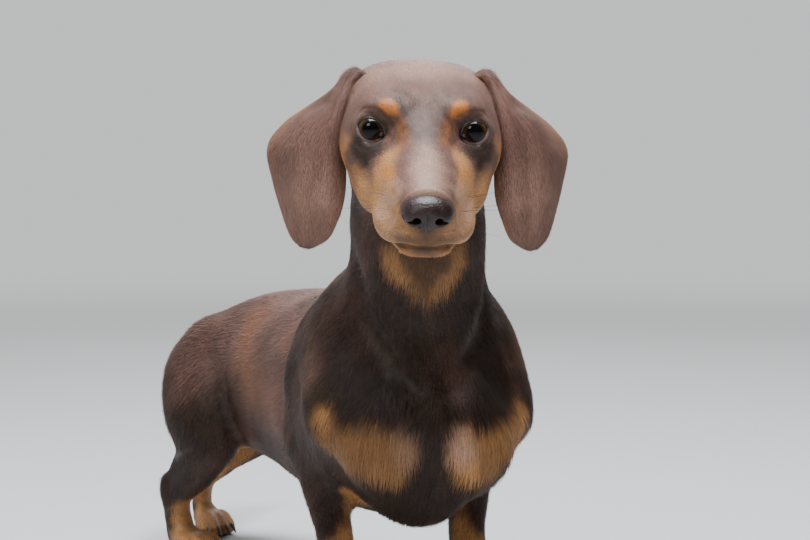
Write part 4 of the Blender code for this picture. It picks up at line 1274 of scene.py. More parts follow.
EAR_ROWS = (
    # across, forward and up from the eye line, at the front edge, the middle and the rear edge
    ((22, -27, 21), (26, -34, 23), (30, -41, 22)),
    ((30.5, -25, 26), (34, -33, 28), (37.5, -40, 27)),
    ((35.5, -22.5, 18), (41.5, -31, 20.5), (46, -44, 17.5)),
    ((38, -22, 7), (48, -28, 11.5), (57, -50, 10.5)),
    ((38.5, -23, -5), (54.5, -26, 1), (71, -56, -0.5)),
    ((38.5, -24, -20), (58.5, -24, -12.5), (78, -53, -12)),
    ((39, -21, -35), (59, -22, -27.5), (75, -46, -29)),
    ((42, -16, -47), (60, -21, -41), (70.5, -36, -44)),
    ((46.8, -19, -57), (58.5, -21, -56), (66.5, -28, -55)),
    ((54.5, -24, -62), (57.5, -25, -63), (61.5, -26, -62)),
)


@dataclass
class Ear:
    """A hanging ear: a leaf with a rolled front edge, a lengthwise fold and a thin rim."""

    stance: Stance
    hand: Hand
    rows: int = 84
    columns: int = 46
    thickness: float = 2.0
    rim: float = 0.5
    length: float = 4.6
    density: float = 2.3
    root: float = 1.2

    def relief(self, s: Points, t: Points) -> Points:
        """How far the leaf stands out from its plain curve.

        Args:
            s: the share of the way from root to tip.
            t: the share of the way from the front edge to the rear one.

        Returns:
            A height in millimetres at each place.
        """
        body = np.sin(math.pi * np.clip(s * 1.05, 0, 1)) ** 0.8
        fold = -1.9 * bell(t - 0.34 - 0.1 * np.sin(3 * s), 0.085) * body
        ridge = 1.3 * bell(t - 0.17 - 0.05 * np.sin(4 * s), 0.09) * body
        swell = 1.5 * bell(t - 0.6, 0.2) * body
        dent = -2.6 * np.exp(-((t - 0.62) / 0.13) ** 2 - ((s - 0.33) / 0.07) ** 2)
        lip = bell(t - 1, 0.07) * ramp(s, 0.2, 0.45)
        return fold + ridge + swell + dent + lip

    def grid(self) -> tuple[Points, Points]:
        """The shares of the way to the tip and to the rear edge, at each point of a sheet."""
        return np.meshgrid(np.linspace(0, 1, self.rows), np.linspace(0, 1, self.columns), indexing="ij")

    def sheets(self) -> tuple[Points, Points, Points]:
        """The middle of the leaf, its outward normals and its half thickness, as grids."""
        lines = smooth_rows(np.array(EAR_ROWS, float).reshape(-1, 9), self.rows).reshape(self.rows, 3, 3)
        t = np.linspace(0, 1, self.columns)[None, :, None]
        front, middle, rear = (lines[:, None, i] for i in range(3))
        pull = 2 * middle - 0.5 * (front + rear)
        leaf = front * (1 - t) ** 2 + 2 * pull * t * (1 - t) + rear * t**2
        leaf = self.stance.eyes + (leaf * (self.hand, 1, 1)) @ self.stance.ears.T
        s, across = self.grid()
        leaf = leaf + self.outward(leaf) * self.relief(s, across)[..., None]
        edge = np.minimum(np.minimum(across, 1 - across) * 9, (1 - s) * 16)
        root = self.root * (1 - ramp(s, 0.05, 0.22))
        return leaf, self.outward(leaf), self.rim + (self.thickness / 2 - self.rim) * ramp(edge, 0, 1) + root

    def outward(self, leaf: Points) -> Points:
        """The leaf's normals, away from the head."""
        normal = unit(np.cross(np.gradient(leaf, axis=0), np.gradient(leaf, axis=1)))
        mid = normal[self.rows // 2, self.columns // 2]
        return normal if mid @ self.stance.ears[:, 0] * self.hand > 0 else -normal

    def surface(self) -> Surface:
        """The ear as a closed surface, with what its coat needs."""
        leaf, normal, half = self.sheets()
        n, m = self.rows, self.columns
        outer, inner = leaf + normal * half[..., None], leaf - normal * half[..., None]
        number = np.arange(n * m).reshape(n, m)
        a, b, c, d = number[:-1, :-1], number[:-1, 1:], number[1:, 1:], number[1:, :-1]
        quads = np.stack([a, b, c, d], -1).reshape(-1, 4)
        rim = np.concatenate([number[0, :-1], number[:-1, -1], number[-1, :0:-1], number[:0:-1, 0]])
        after = np.roll(rim, -1)
        wall = np.stack([rim, rim + n * m, after + n * m, after], 1)
        every = np.vstack([quads, quads[:, ::-1] + n * m, wall])
        points = np.vstack([outer.reshape(-1, 3), inner.reshape(-1, 3)])
        out = Surface(points, np.vstack([every[:, [0, 1, 2]], every[:, [0, 2, 3]]]))
        if np.einsum("ij,ij->i", out.facing()[:n * m], normal.reshape(-1, 3)).mean() < 0:
            out.triangles = out.triangles[:, ::-1]
        out.normals = out.facing()
        along = np.gradient(leaf, axis=0)
        rear = ramp(np.linspace(0, 1, m), 0.7, 1.0)[None, :, None] * np.gradient(leaf, axis=1)
        flow = np.tile((unit(along) + 0.35 * unit(rear + 1e-6 * along)).reshape(-1, 3), (2, 1))
        out.lie = flat_on(out.normals, flow)
        length = self.length * (0.7 + 0.3 * ramp(half.ravel(), self.rim, self.thickness / 2))
        length = length * (1 - 0.45 * ramp(np.repeat(np.linspace(0, 1, n), m), 0.86, 1.0))
        out.hair = np.tile(np.stack([length, np.full(n * m, self.density)], 1), (2, 1))
        return out

    def marks(self, q: Points, corners: Points, share: Points) -> Points:
        """The tones of the ear: warmer inside and along its rims, darker at the tip, with painted shade along
        the front edge and in the dent, and painted sheen on the lower half.

        Args:
            q: places on the ear.
            corners: the three points round each place.
            share: the share of each corner.

        Returns:
            A channel for each tone.
        """
        count = self.rows * self.columns
        inner = ((corners >= count) * share).sum(1)
        down, across = ((way.ravel()[corners % count] * share).sum(1) for way in self.grid())
        edge = np.exp(-np.minimum(across, 1 - across) / 0.06)
        noise = waves(q, 8, 41)
        out = np.zeros((len(q), len(Tone)))
        rear = ramp(across, 0.75, 1.0) * (1 - ramp(down, 0.35, 0.6))
        out[:, TAN] = np.clip(0.35 * inner * (1 + 0.4 * noise) + 0.3 * rear, 0, 1)
        out[:, RUST] = np.clip(0.12 * edge * (1 + noise), 0, 1)
        # painted shade along the front edge, where it curls in against the head
        front_edge_shade = (1 - ramp(across, 0.04, 0.16)) * ramp(down, 0.04, 0.14) * (1 - ramp(down, 0.5, 0.62))
        # painted sheen: a paler band on the lower half of the ear
        out[:, PALE] = 0.22 * ramp(down, 0.45, 0.75) * (1 - ramp(down, 0.88, 1.0))
        # the dent is darkened too: painted shade
        dent = np.exp(-((across - 0.62) / 0.12) ** 2 - ((down - 0.33) / 0.06) ** 2)
        out[:, DARK] = np.clip(0.3 * ramp(down, 0.85, 1.0) + 0.75 * front_edge_shade + 0.35 * dent, 0, 1)
        return out


@dataclass
class NoseLeather:
    """The nose: a leathery pad with two comma-shaped nostrils and a groove down its middle."""

    stance: Stance
    centre: tuple = (0.0, 66.0, -12.5)
    radii: tuple = (13.0, 9.6, 7.9)
    spacing: float = 0.5

    def distance(self, p: Points) -> Points:
        """Distance to the leather, in the head's axes."""
        d = Egg(self.centre, self.radii).distance(p)
        m = np.column_stack([np.abs(p[:, 0]), p[:, 1:]])
        d = smin(d, Egg((6.6, 69.0, -14.6), (5.4, 6.2, 4.9)).distance(m), 3.0)
        d = smin(d, Egg((0, 70.5, -17.0), (4.2, 4.0, 6.0)).distance(m), 2.5)
        hole = Limb(((5.4, 78, -15.3, *(1.9,) * 3), (5.6, 73.5, -14.6, *(2.0,) * 3),
                     (5.9, 70.5, -14.2, *(1.5,) * 3)))
        wing = Limb(((5.8, 75.0, -15.4, *(1.2,) * 3), (9.0, 73.0, -15.4, *(0.9,) * 3),
                     (12.4, 69.2, -14.4, *(0.55,) * 3)))
        d = smax(d, -hole.distance(m), 1.0)
        d = smax(d, -wing.distance(m), 0.8)
        groove = 0.95 * bell(p[:, 0], 0.75) * ramp(p[:, 2], -8.5, -12) * (p[:, 1] > 66)
        return d + groove

    def mesh(self, shop: Workshop) -> Mesh:
        """The leather in place."""
        low, high = np.array((-18, 52, -30)), np.array((18, 82, 0))
        form = polygonised(self.distance, low, high, self.spacing)
        form.eased(0.4)
        form.settled(self.distance, np.ones(len(form.points), bool), 1, 0.1)
        return facing_out(shop.mesh("nose_leather", self.stance.from_head(form.points), form.triangles))


@dataclass
class Eye:
    """A ball of the eye with the bulge of its cornea; its own axes are kept for the paint of the iris."""

    stance: Stance
    hand: Hand
    bulge: float = 0.7
    cornea: float = 7.6
    around: int = 72
    rings: int = 44

    def mesh(self, shop: Workshop) -> Mesh:
        """The eye in place."""
        angle = np.linspace(0, math.pi, self.rings + 1)[1:-1]
        turn = np.linspace(0, 2 * math.pi, self.around, endpoint=False)
        a, t = np.meshgrid(angle, turn, indexing="ij")
        local = np.stack([np.sin(a) * np.cos(t), np.sin(a) * np.sin(t), np.cos(a)], -1).reshape(-1, 3)
        local = np.vstack([(0, 0, 1), local, (0, 0, -1)])
        reach = np.hypot(local[:, 0], local[:, 1]) * LIDS.radius
        dome = 1 - ramp(reach, 0.35 * self.cornea, 1.1 * self.cornea)
        lift = self.bulge * np.where(local[:, 2] > 0, dome, 0)
        points = local * (LIDS.radius + lift)[:, None] @ LIDS.axes(self.hand).T + LIDS.centre(self.hand)
        n, last = self.around, len(points) - 1
        faces = [(0, 1 + j, 1 + (j + 1) % n) for j in range(n)]
        for k in range(1, 1 + (self.rings - 2) * n, n):
            faces += [(k + j, k + n + j, k + n + (j + 1) % n, k + (j + 1) % n) for j in range(n)]
        faces += [(last - n + j, last, last - n + (j + 1) % n) for j in range(n)]
        out = facing_out(shop.mesh(f"eye_{self.hand.word}", self.stance.from_head(points), faces))
        store(out, "ball", local)
        return out


@dataclass
class LidRims:
    """The hairless wet edges of both lids and the tear corner, on one eye."""

    stance: Stance
    hand: Hand
    count: int = 96
    around: int = 10
    radius: float = 0.62
    lift: float = 0.5

    def mesh(self, shop: Workshop) -> Mesh:
        """Both rims in place, with the height of each point over the almond's middle."""
        ring, height = LIDS.outline(self.hand, self.count, self.lift)
        along = unit(np.roll(ring, -1, axis=0) - np.roll(ring, 1, axis=0))
        out = unit(ring - LIDS.centre(self.hand))
        side = np.cross(along, out)
        turn = np.linspace(0, 2 * math.pi, self.around, endpoint=False)[None, :, None]
        size = (self.radius * (1 + 0.25 * np.clip(-height, 0, 1)))[:, None, None]
        tube = ring[:, None] + size * (np.cos(turn) * out[:, None] * 0.9 + np.sin(turn) * side[:, None])
        points = tube.reshape(-1, 3)
        faces = tube_faces(len(ring), self.around, closed=True)
        lump, lump_faces = self.corner()
        faces += [tuple(k + len(points) for k in face) for face in lump_faces]
        points = np.vstack([points, lump])
        tags = np.concatenate([np.repeat(height, self.around), np.full(len(lump), -0.2)])
        mesh = shop.mesh(f"lid_rims_{self.hand.word}", self.stance.from_head(points), faces)
        store(mesh, "height", np.column_stack([tags, tags, tags]))
        return facing_out(mesh)

    def corner(self) -> tuple[Points, list]:
        """The small fleshy lump in the inner corner: its points in the head's axes, and its faces."""
        axes, radius = LIDS.axes(self.hand), LIDS.radius
        spot = np.array([-self.hand * (LIDS.half_width - 1.5), 0.0])
        out = math.sqrt(radius**2 - (spot**2).sum())
        middle = axes @ np.array([*spot, out]) * (radius + 0.1) / radius + LIDS.centre(self.hand)
        rows, around = 8, 12
        points, size = [], np.array([1.5, 1.1, 0.8])
        for i in range(rows):
            a = math.pi * (i + 0.5) / rows
            for j in range(around):
                t = 2 * math.pi * j / around
                local = np.array([math.cos(a), math.sin(a) * math.cos(t), math.sin(a) * math.sin(t)])
                points.append(middle + axes @ (local * size))
        return np.array(points), tube_faces(rows, around)


# Nodes

class Wire:
    """An output of a node, as part of an expression."""

    def __init__(self, nodes: Nodes, socket: NodeSocket) -> None:
        """Keeps the socket."""
        self.nodes, self.socket = nodes, socket

    def _math(self, operation: str, *values: Wire | float) -> Wire:
        """The result of a Math node."""
        return self.nodes.wire("ShaderNodeMath", {"operation": operation}, dict(enumerate(values)))

    def __add__(self, other: Wire | float) -> Wire:
        """Sum."""
        return self._math("ADD", self, other)

    def __sub__(self, other: Wire | float) -> Wire:
        """Difference."""
        return self._math("SUBTRACT", self, other)

    def __rsub__(self, other: float) -> Wire:
        """Difference from a number."""
        return self._math("SUBTRACT", other, self)

    def __mul__(self, other: Wire | float) -> Wire:
        """Product."""
        return self._math("MULTIPLY", self, other)

    __radd__ = __add__

    def smoothly(self, start: float, end: float) -> Wire:
        """A smooth step from 0 at start to 1 at end."""
        low, high, reverse = min(start, end), max(start, end), start > end
        return self.nodes.wire("ShaderNodeMapRange", {"interpolation_type": "SMOOTHSTEP"},
                               {0: self, 1: low, 2: high, 3: float(reverse), 4: float(not reverse)})


class Nodes:
    """The nodes of one tree."""

    def __init__(self, tree: NodeTree) -> None:
        """Keeps the tree."""
        self.tree = tree

    def node(self, kind: str, settings: dict | None = None, sockets: dict | None = None) -> Node:
        """A new node.

        Args:
            kind: its type.
            settings: properties that are set first.
            sockets: values or wires of its inputs, by name or place.

        Returns:
            The node.
        """
        out = self.tree.nodes.new(kind)
        for name, value in (settings or {}).items():
            setattr(out, name, value)
        for key, value in (sockets or {}).items():
            self.join(out.inputs[key], value)
        return out

    def wire(self, kind: str, settings: dict | None = None, sockets: dict | None = None,
             out: int | str = 0) -> Wire:
        """One output of a new node."""
        return Wire(self, self.node(kind, settings, sockets).outputs[out])

    def join(self, socket: NodeSocket, value: Wire | float | tuple) -> None:
        """Links a wire to a socket, or sets its value."""
        if isinstance(value, Wire):
            self.tree.links.new(value.socket, socket)
        elif isinstance(value, tuple) and socket.type == "RGBA":
            socket.default_value = (*value[:3], 1.0)
        else:
            socket.default_value = value

    def parts(self, vector: Wire) -> list[Wire]:
        """The three numbers of a vector or colour."""
        return [Wire(self, out) for out in self.node("ShaderNodeSeparateXYZ", None, {0: vector}).outputs]

    def scaled(self, vector: Wire, factor: Wire | float) -> Wire:
        """A vector made longer or shorter, or a colour made lighter or darker."""
        return self.wire("ShaderNodeVectorMath", {"operation": "SCALE"}, {0: vector, "Scale": factor})


# Small shapes set on points

@dataclass
class Roots:
    """Places where small shapes stand, and how each one lies."""

    points: Points
    up: Points
    lie: Points
    size: Points
    marks: Points
    grain: Points
    place: Points

    @classmethod
    def plain(cls, points: Points, up: Points, lie: Points, size: Points) -> Roots:
        """Roots without markings, of middling colour, that lie beside each other on the unwrap."""
        n = len(points)
        place = np.column_stack([np.linspace(0.05, 0.95, n), np.full(n, 0.5), np.zeros(n)])
        return cls(points, up, lie, size, np.zeros((n, 4)), np.full((n, 3), 0.5), place)

    def mesh(self, shop: Workshop) -> Mesh:
        """The roots as loose points with attributes."""
        out = bpy.data.meshes.new("roots")
        out.vertices.add(len(self.points))
        out.vertices.foreach_set("co", shop.placed(self.points).astype(np.float32).ravel())
        for name in ("up", "lie", "size", "marks", "grain", "place"):
            store(out, name, getattr(self, name) * (MM if name == "size" else 1))
        return out


class ShapeKind(Enum):
    """The small shapes that grow on the dog."""

    TUFT = "tuft"
    CLAW = "claw"
    WHISKER = "whisker"

    def mesh(self) -> Mesh:
        """The shape: along +Y from its root, up +Z, one long, with its patch of the unwrap."""
        return {ShapeKind.TUFT: self.tuft, ShapeKind.CLAW: self.claw, ShapeKind.WHISKER: self.whisker}[self]()

    def finished(self, points: Points, faces: list, patch: Points) -> Mesh:
        """A mesh with a place on the patch for each point."""
        out = bpy.data.meshes.new(self.value)
        out.from_pydata([tuple(map(float, p)) for p in points], [], faces)
        facing_out(out)
        store(out, "patch", np.column_stack([patch, np.asarray(points)[:, 1]]))
        return out

    def tuft(self) -> Mesh:
        """A few hairs that lie together: a flat blade with a ridge, closed below."""
        points = ((-0.5, 0, 0), (0.5, 0, 0), (0, 0.12, 0.5), (0, 1, 0.1))
        return self.finished(points, [(0, 1, 2), (0, 2, 3), (1, 3, 2), (0, 3, 1)],
                             np.array([(0, 0), (1, 0), (0.5, 0.4), (0.5, 1)]))

    def swept(self, rings: int, around: int, arch: float, taper: float, tip: float) -> Mesh:
        """A tapered horn or hair that arches over its length."""
        points, patch = [], []
        for i in range(rings):
            t = i / (rings - 1)
            r = 0.5 * ((1 - t) ** taper * (1 - tip) + tip)
            for j in range(around):
                a = 2 * math.pi * j / around
                points.append((r * math.cos(a), t, r * math.sin(a) + arch * math.sin(math.pi * t)))
                patch.append((0.5 + 0.5 * math.cos(a), t))
        return self.finished(points, tube_faces(rings, around), np.array(patch))

    def claw(self) -> Mesh:
        """A blunt curved claw."""
        return self.swept(9, 10, 0.3, 0.75, 0.22)

    def whisker(self) -> Mesh:
        """A long springy hair."""
        return self.swept(6, 3, 0.09, 1.0, 0.12)


@dataclass
class Growth:
    """One Geometry Nodes tree that sets a small shape on points and makes it real."""

    kind: ShapeKind
    jitter: float = 0.25
    turn: float = 0.16
    patch: float = 0.003
    turn_shares: tuple = (0.35, 1.6, 1.0)

    def tree(self) -> GeometryNodeTree:
        """Builds the tree."""
        nodes = Nodes(bpy.data.node_groups.new(f"grow_{self.kind.value}", "GeometryNodeTree"))
        face = nodes.tree.interface
        for name, kind in {"Geometry": "Geometry", "Shape": "Object", "Finish": "Material", "Seed": "Int",
                           "Size Jitter": "Float", "Turn Jitter": "Float", "Patch": "Float"}.items():
            face.new_socket(name, in_out="INPUT", socket_type=f"NodeSocket{kind}")
        face.new_socket("Geometry", in_out="OUTPUT", socket_type="NodeSocketGeometry")
        given = {socket.name: Wire(nodes, socket) for socket in nodes.node("NodeGroupInput").outputs}
        size_jitter, turn_jitter, seed = given["Size Jitter"], given["Turn Jitter"], given["Seed"]

        def named(name: str) -> Wire:
            """A vector attribute of the points."""
            kind = {"data_type": "FLOAT_VECTOR"}
            return nodes.wire("GeometryNodeInputNamedAttribute", kind, {"Name": name})

        def drawn(low: Wire, high: Wire, seed: Wire) -> Wire:
            """A random number for each point."""
            sockets = {2: low, 3: high, "Seed": seed}
            return nodes.wire("FunctionNodeRandomValue", {"data_type": "FLOAT"}, sockets, 1)

        back, turns = turn_jitter * -1.0, {}
        for axis, share in enumerate(self.turn_shares):
            own_seed = nodes.wire("FunctionNodeIntegerMath", {"operation": "ADD"}, {0: seed, 1: axis + 1})
            turns[axis] = drawn(back * share, turn_jitter * share, own_seed)
        angles = nodes.wire("ShaderNodeCombineXYZ", None, turns)
        turned_by = nodes.wire("FunctionNodeEulerToRotation", None, {0: angles})
        axes = nodes.wire("FunctionNodeAxesToRotation", {"primary_axis": "Z", "secondary_axis": "Y"},
                          {0: named("up"), 1: named("lie")})
        rotation = nodes.wire("FunctionNodeRotateRotation", {"rotation_space": "LOCAL"},
                              {0: axes, 1: turned_by})
        scale = nodes.scaled(named("size"), drawn(1.0 - size_jitter, size_jitter + 1.0, seed))
        points = nodes.wire("GeometryNodeMeshToPoints", None, {"Mesh": given["Geometry"]})
        shape = nodes.wire("GeometryNodeObjectInfo", None, {"Object": given["Shape"]}, "Geometry")
        set_on = nodes.wire("GeometryNodeInstanceOnPoints", None, {"Points": points, "Instance": shape,
                                                                   "Rotation": rotation, "Scale": scale})
        real = nodes.wire("GeometryNodeRealizeInstances", None, {"Geometry": set_on})
        spot = nodes.wire("ShaderNodeVectorMath", {"operation": "ADD"},
                          {0: named("place"), 1: nodes.scaled(named("patch"), given["Patch"])})
        kept = nodes.wire("GeometryNodeStoreNamedAttribute", {"data_type": "FLOAT2", "domain": "CORNER"},
                          {"Geometry": real, "Name": "OFBake", "Value": spot})
        dressed = nodes.wire("GeometryNodeSetMaterial", None, {"Geometry": kept, "Material": given["Finish"]})
        nodes.node("NodeGroupOutput", None, {"Geometry": dressed})
        return nodes.tree

    def grown(self, name: str, roots: Roots, finish: Material, shop: Workshop) -> Mesh:
        """The shapes on their roots, as one plain mesh.

        Args:
            name: the mesh's name.
            roots: where they stand.
            finish: their material.
            shop: puts them in place.

        Returns:
            The mesh, with a UV map named OFBake.
        """
        shape, holder = linked("shape", self.kind.mesh()), linked("holder", roots.mesh(shop))
        tree = self.tree()
        grow = holder.modifiers.new("grow", "NODES")
        grow.node_group = tree
        values = {"Shape": shape, "Finish": finish, "Size Jitter": self.jitter, "Turn Jitter": self.turn,
                  "Patch": self.patch, "Seed": SEED}
        for item in tree.interface.items_tree:
            if item.in_out == "INPUT" and item.name in values:
                grow[item.identifier] = values[item.name]
        bpy.context.view_layer.update()
        graph = bpy.context.evaluated_depsgraph_get()
        mesh = bpy.data.meshes.new_from_object(holder.evaluated_get(graph))
        mesh.name = name
        for unused in ("up", "lie", "size", "place"):
            if unused in mesh.attributes:
                mesh.attributes.remove(mesh.attributes[unused])
        bpy.data.objects.remove(holder)
        bpy.data.objects.remove(shape)
        bpy.data.node_groups.remove(tree)
        return mesh


@dataclass(frozen=True)
class Stretch:
    """A stretch of the skin whose coat is one piece: a region, and a span along it."""

    name: str
    region: Region
    start: float = -1000.0
    end: float = 1000.0


STRETCHES = (
    Stretch("coat_muzzle", Region.HEAD, start=14), Stretch("coat_brow", Region.HEAD, start=-22, end=14),
    Stretch("coat_crown", Region.HEAD, end=-22), Stretch("coat_neck", Region.NECK),
    Stretch("coat_chest", Region.TRUNK, end=38), Stretch("coat_loin", Region.TRUNK, start=38, end=128),
    Stretch("coat_rump", Region.TRUNK, start=128), Stretch("coat_tail", Region.TAIL),
    Stretch("coat_fore_leg_right", Region.FORE_RIGHT), Stretch("coat_fore_leg_left", Region.FORE_LEFT),
    Stretch("coat_hind_leg_right", Region.HIND_RIGHT), Stretch("coat_hind_leg_left", Region.HIND_LEFT),
)


@dataclass
class Fur:
    """The coat as tufts on stretches of a surface."""

    coat: Coat
    lift: float = 5.0
    sunk: float = 0.15
    most: int = 49000
    clear: float = 0.7
    shortest: float = 0.6
    sole: float = 1.0
    lid_gap: float = 0.9
    nose_gap: float = 0.7
    width: float = 0.2
    widening: float = 0.034
    height: float = 0.24
    margin: float = 0.015
    filled: float = 0.96

    def along(self, stretch: Stretch, q: Points) -> Points:
        """How far along its region each place is."""
        stance = self.coat.form.stance
        if stretch.region is Region.HEAD:
            return stance.of_head(q)[:, 1]
        if stretch.region is Region.TRUNK:
            return stance.straighten(q)[:, 1]
        if stretch.region is Region.TAIL:
            return q[:, 1] + 0.3 * q[:, 0]
        return q[:, 2]

    def unwrapped(self, stretch: Stretch, q: Points) -> Points:
        """Each place on an unwrap of the stretch: the turn about its length, and the way along it."""
        stance = self.coat.form.stance
        along = self.along(stretch, q)
        if stretch.region is Region.HEAD:
            p = stance.of_head(q)
            turn = np.arctan2(p[:, 0], -(p[:, 2] + 14))
        elif stretch.region is Region.TRUNK:
            p = stance.straighten(q)
            turn = np.arctan2(p[:, 0], 110 - p[:, 2])
        elif stretch.region in (Region.TAIL, Region.NECK):
            limb = self.coat.form.tail if stretch.region is Region.TAIL else self.coat.form.neck
            span, _ = limb.nearest(q)
            away = q - limb.line[span]
            turn = np.arctan2((away * limb.side[span]).sum(1), (away * limb.face[span]).sum(1))
        else:
            middle = np.array([np.median(q[:, i]) for i in range(2)])
            turn = np.arctan2(q[:, 0] - middle[0], q[:, 1] - middle[1])
        share = (along - along.min()) / max(float(np.ptp(along)), 1e-6)
        spot = np.column_stack([turn / (2 * math.pi) + 0.5, share])
        return np.column_stack([self.margin + self.filled * spot, 0 * share])

    def roots(self, surface: Surface, weight: Points, seed: int) -> tuple[Roots, Points, Points]:
        """Places for tufts on a surface.

        Args:
            surface: where they stand.
            weight: how much of its full coat each triangle gets, from 0 to 1.
            seed: for the places.

        Returns:
            The roots, and for each its triangle and its shares of the triangle's corners.
        """
        rng = np.random.default_rng(seed)
        t = surface.triangles
        share = surface.areas() * surface.hair[t][:, :, 1].mean(1) * weight
        count = min(int(share.sum()), self.most)
        total = np.cumsum(share)
        which = np.searchsorted(total, (np.arange(count) + rng.random(count)) * total[-1] / max(count, 1))
        which = np.minimum(which, len(t) - 1)
        u, v = rng.random(count), rng.random(count)
        fold = u + v > 1
        u, v = np.where(fold, 1 - u, u), np.where(fold, 1 - v, v)
        corner = np.stack([1 - u - v, u, v], 1)

        def read(values: Points) -> Points:
            """Values of the corners at each root."""
            return (values[t[which]] * corner[:, :, None]).sum(1)

        up = unit(read(surface.normals))
        lie = flat_on(up, read(surface.lie))
        rise = math.radians(self.lift)
        points = read(surface.points) - self.sunk * up
        way = lie * math.cos(rise) + up * math.sin(rise)
        to_floor = points[:, 2] / np.maximum(-way[:, 2], 1e-3)
        length = np.minimum(read(surface.hair)[:, 0], np.maximum(self.clear * to_floor, self.shortest))
        width = self.width + self.widening * length
        size = np.column_stack([width, length, self.height * width])
        return Roots.plain(points, up * math.cos(rise) - lie * math.sin(rise), way, size), which, corner

    def on_skin(self, surface: Surface, stretch: Stretch, nose: NoseLeather, seed: int) -> Roots:
        """Tuft roots on one stretch of the skin, clear of eyes, nose and soles."""
        t = surface.triangles
        middle = surface.points[t].mean(1)
        main = surface.shares[t].mean(1).argmax(1)
        along = self.along(stretch, middle)
        weight = (main == stretch.region) & (along >= stretch.start) & (along < stretch.end)
        weight &= middle[:, 2] > self.sole
        if stretch.region is Region.HEAD:
            p = self.coat.form.stance.of_head(middle)
            for hand in Hand:
                rim, over, _ = LIDS.around(p, hand)
                weight &= (rim > self.lid_gap) | (np.abs(over) > 7)
            weight &= nose.distance(p) > self.nose_gap
        out, which, corner = self.roots(surface, weight.astype(float), seed)
        out.marks = self.coat.marks(out.points)
        shares = (surface.shares[t[which]] * corner[:, :, None]).sum(1)
        out.grain = self.coat.grain(out.points, seed, shares)
        out.place = self.unwrapped(stretch, out.points)
        return out

    def on_ear(self, ear: Ear, surface: Surface, seed: int) -> Roots:
        """Tuft roots on an ear, outside the skin of the head."""
        t = surface.triangles
        outside = self.coat.form.skin(surface.points[t].mean(1)) > -0.4
        out, which, corner = self.roots(surface, outside.astype(float), seed)
        s, across = (way.ravel() for way in ear.grid())
        sheets = [np.column_stack([0.02 + 0.45 * across + 0.5 * k, 0.02 + 0.94 * s, 0 * s]) for k in (0, 1)]
        out.place = (np.vstack(sheets)[t[which]] * corner[:, :, None]).sum(1)
        out.marks = ear.marks(out.points, t[which], corner)
        out.grain = self.coat.grain(out.points, seed)
        return out


@dataclass
class Claws:
    """All the claws, each on the root and the line of its solid."""

    stance: Stance
    width: float = 3.7
    sunk: float = 1.8
    short: float = 9.5
    small: float = 0.85

    def roots(self) -> Roots:
        """Where the claws stand."""
        points, lies = [], []
        for hand in Hand:
            pairs = [(*DEW_CLAW, False)]
            for paw, hind in ((FORE_PAW, False), (HIND_PAW, True)):
                pairs += [(root, tip, hind) for root, tip in paw.claws()]
            for root, tip, hind in pairs:
                a, b = (self.stance.leg_point(hand, p, hind) for p in (root, tip))
                points.append(a - unit(b - a) * self.sunk)
                lies.append(b - points[-1])
        points, lies = np.array(points), np.array(lies)
        length = norms(lies)
        lie = lies / length[:, None]
        up = unit(np.array([0, 0, 1.0]) - lie[:, 2:] * lie)
        share = np.where(length < self.short, self.small, 1.0)
        size = np.column_stack([0.82 * self.width * share, length, self.width * share])
        return Roots.plain(points, up, lie, size)

    @staticmethod
    def nodes() -> list[str]:
        """The names of their solids."""
        out = []
        for hand in Hand:
            out.append(f"dew_claw_{hand.word}")
            out += [f"{kind}_claw_{hand.word}_{n}" for kind in ("fore", "hind") for n in range(1, 5)]
        return out


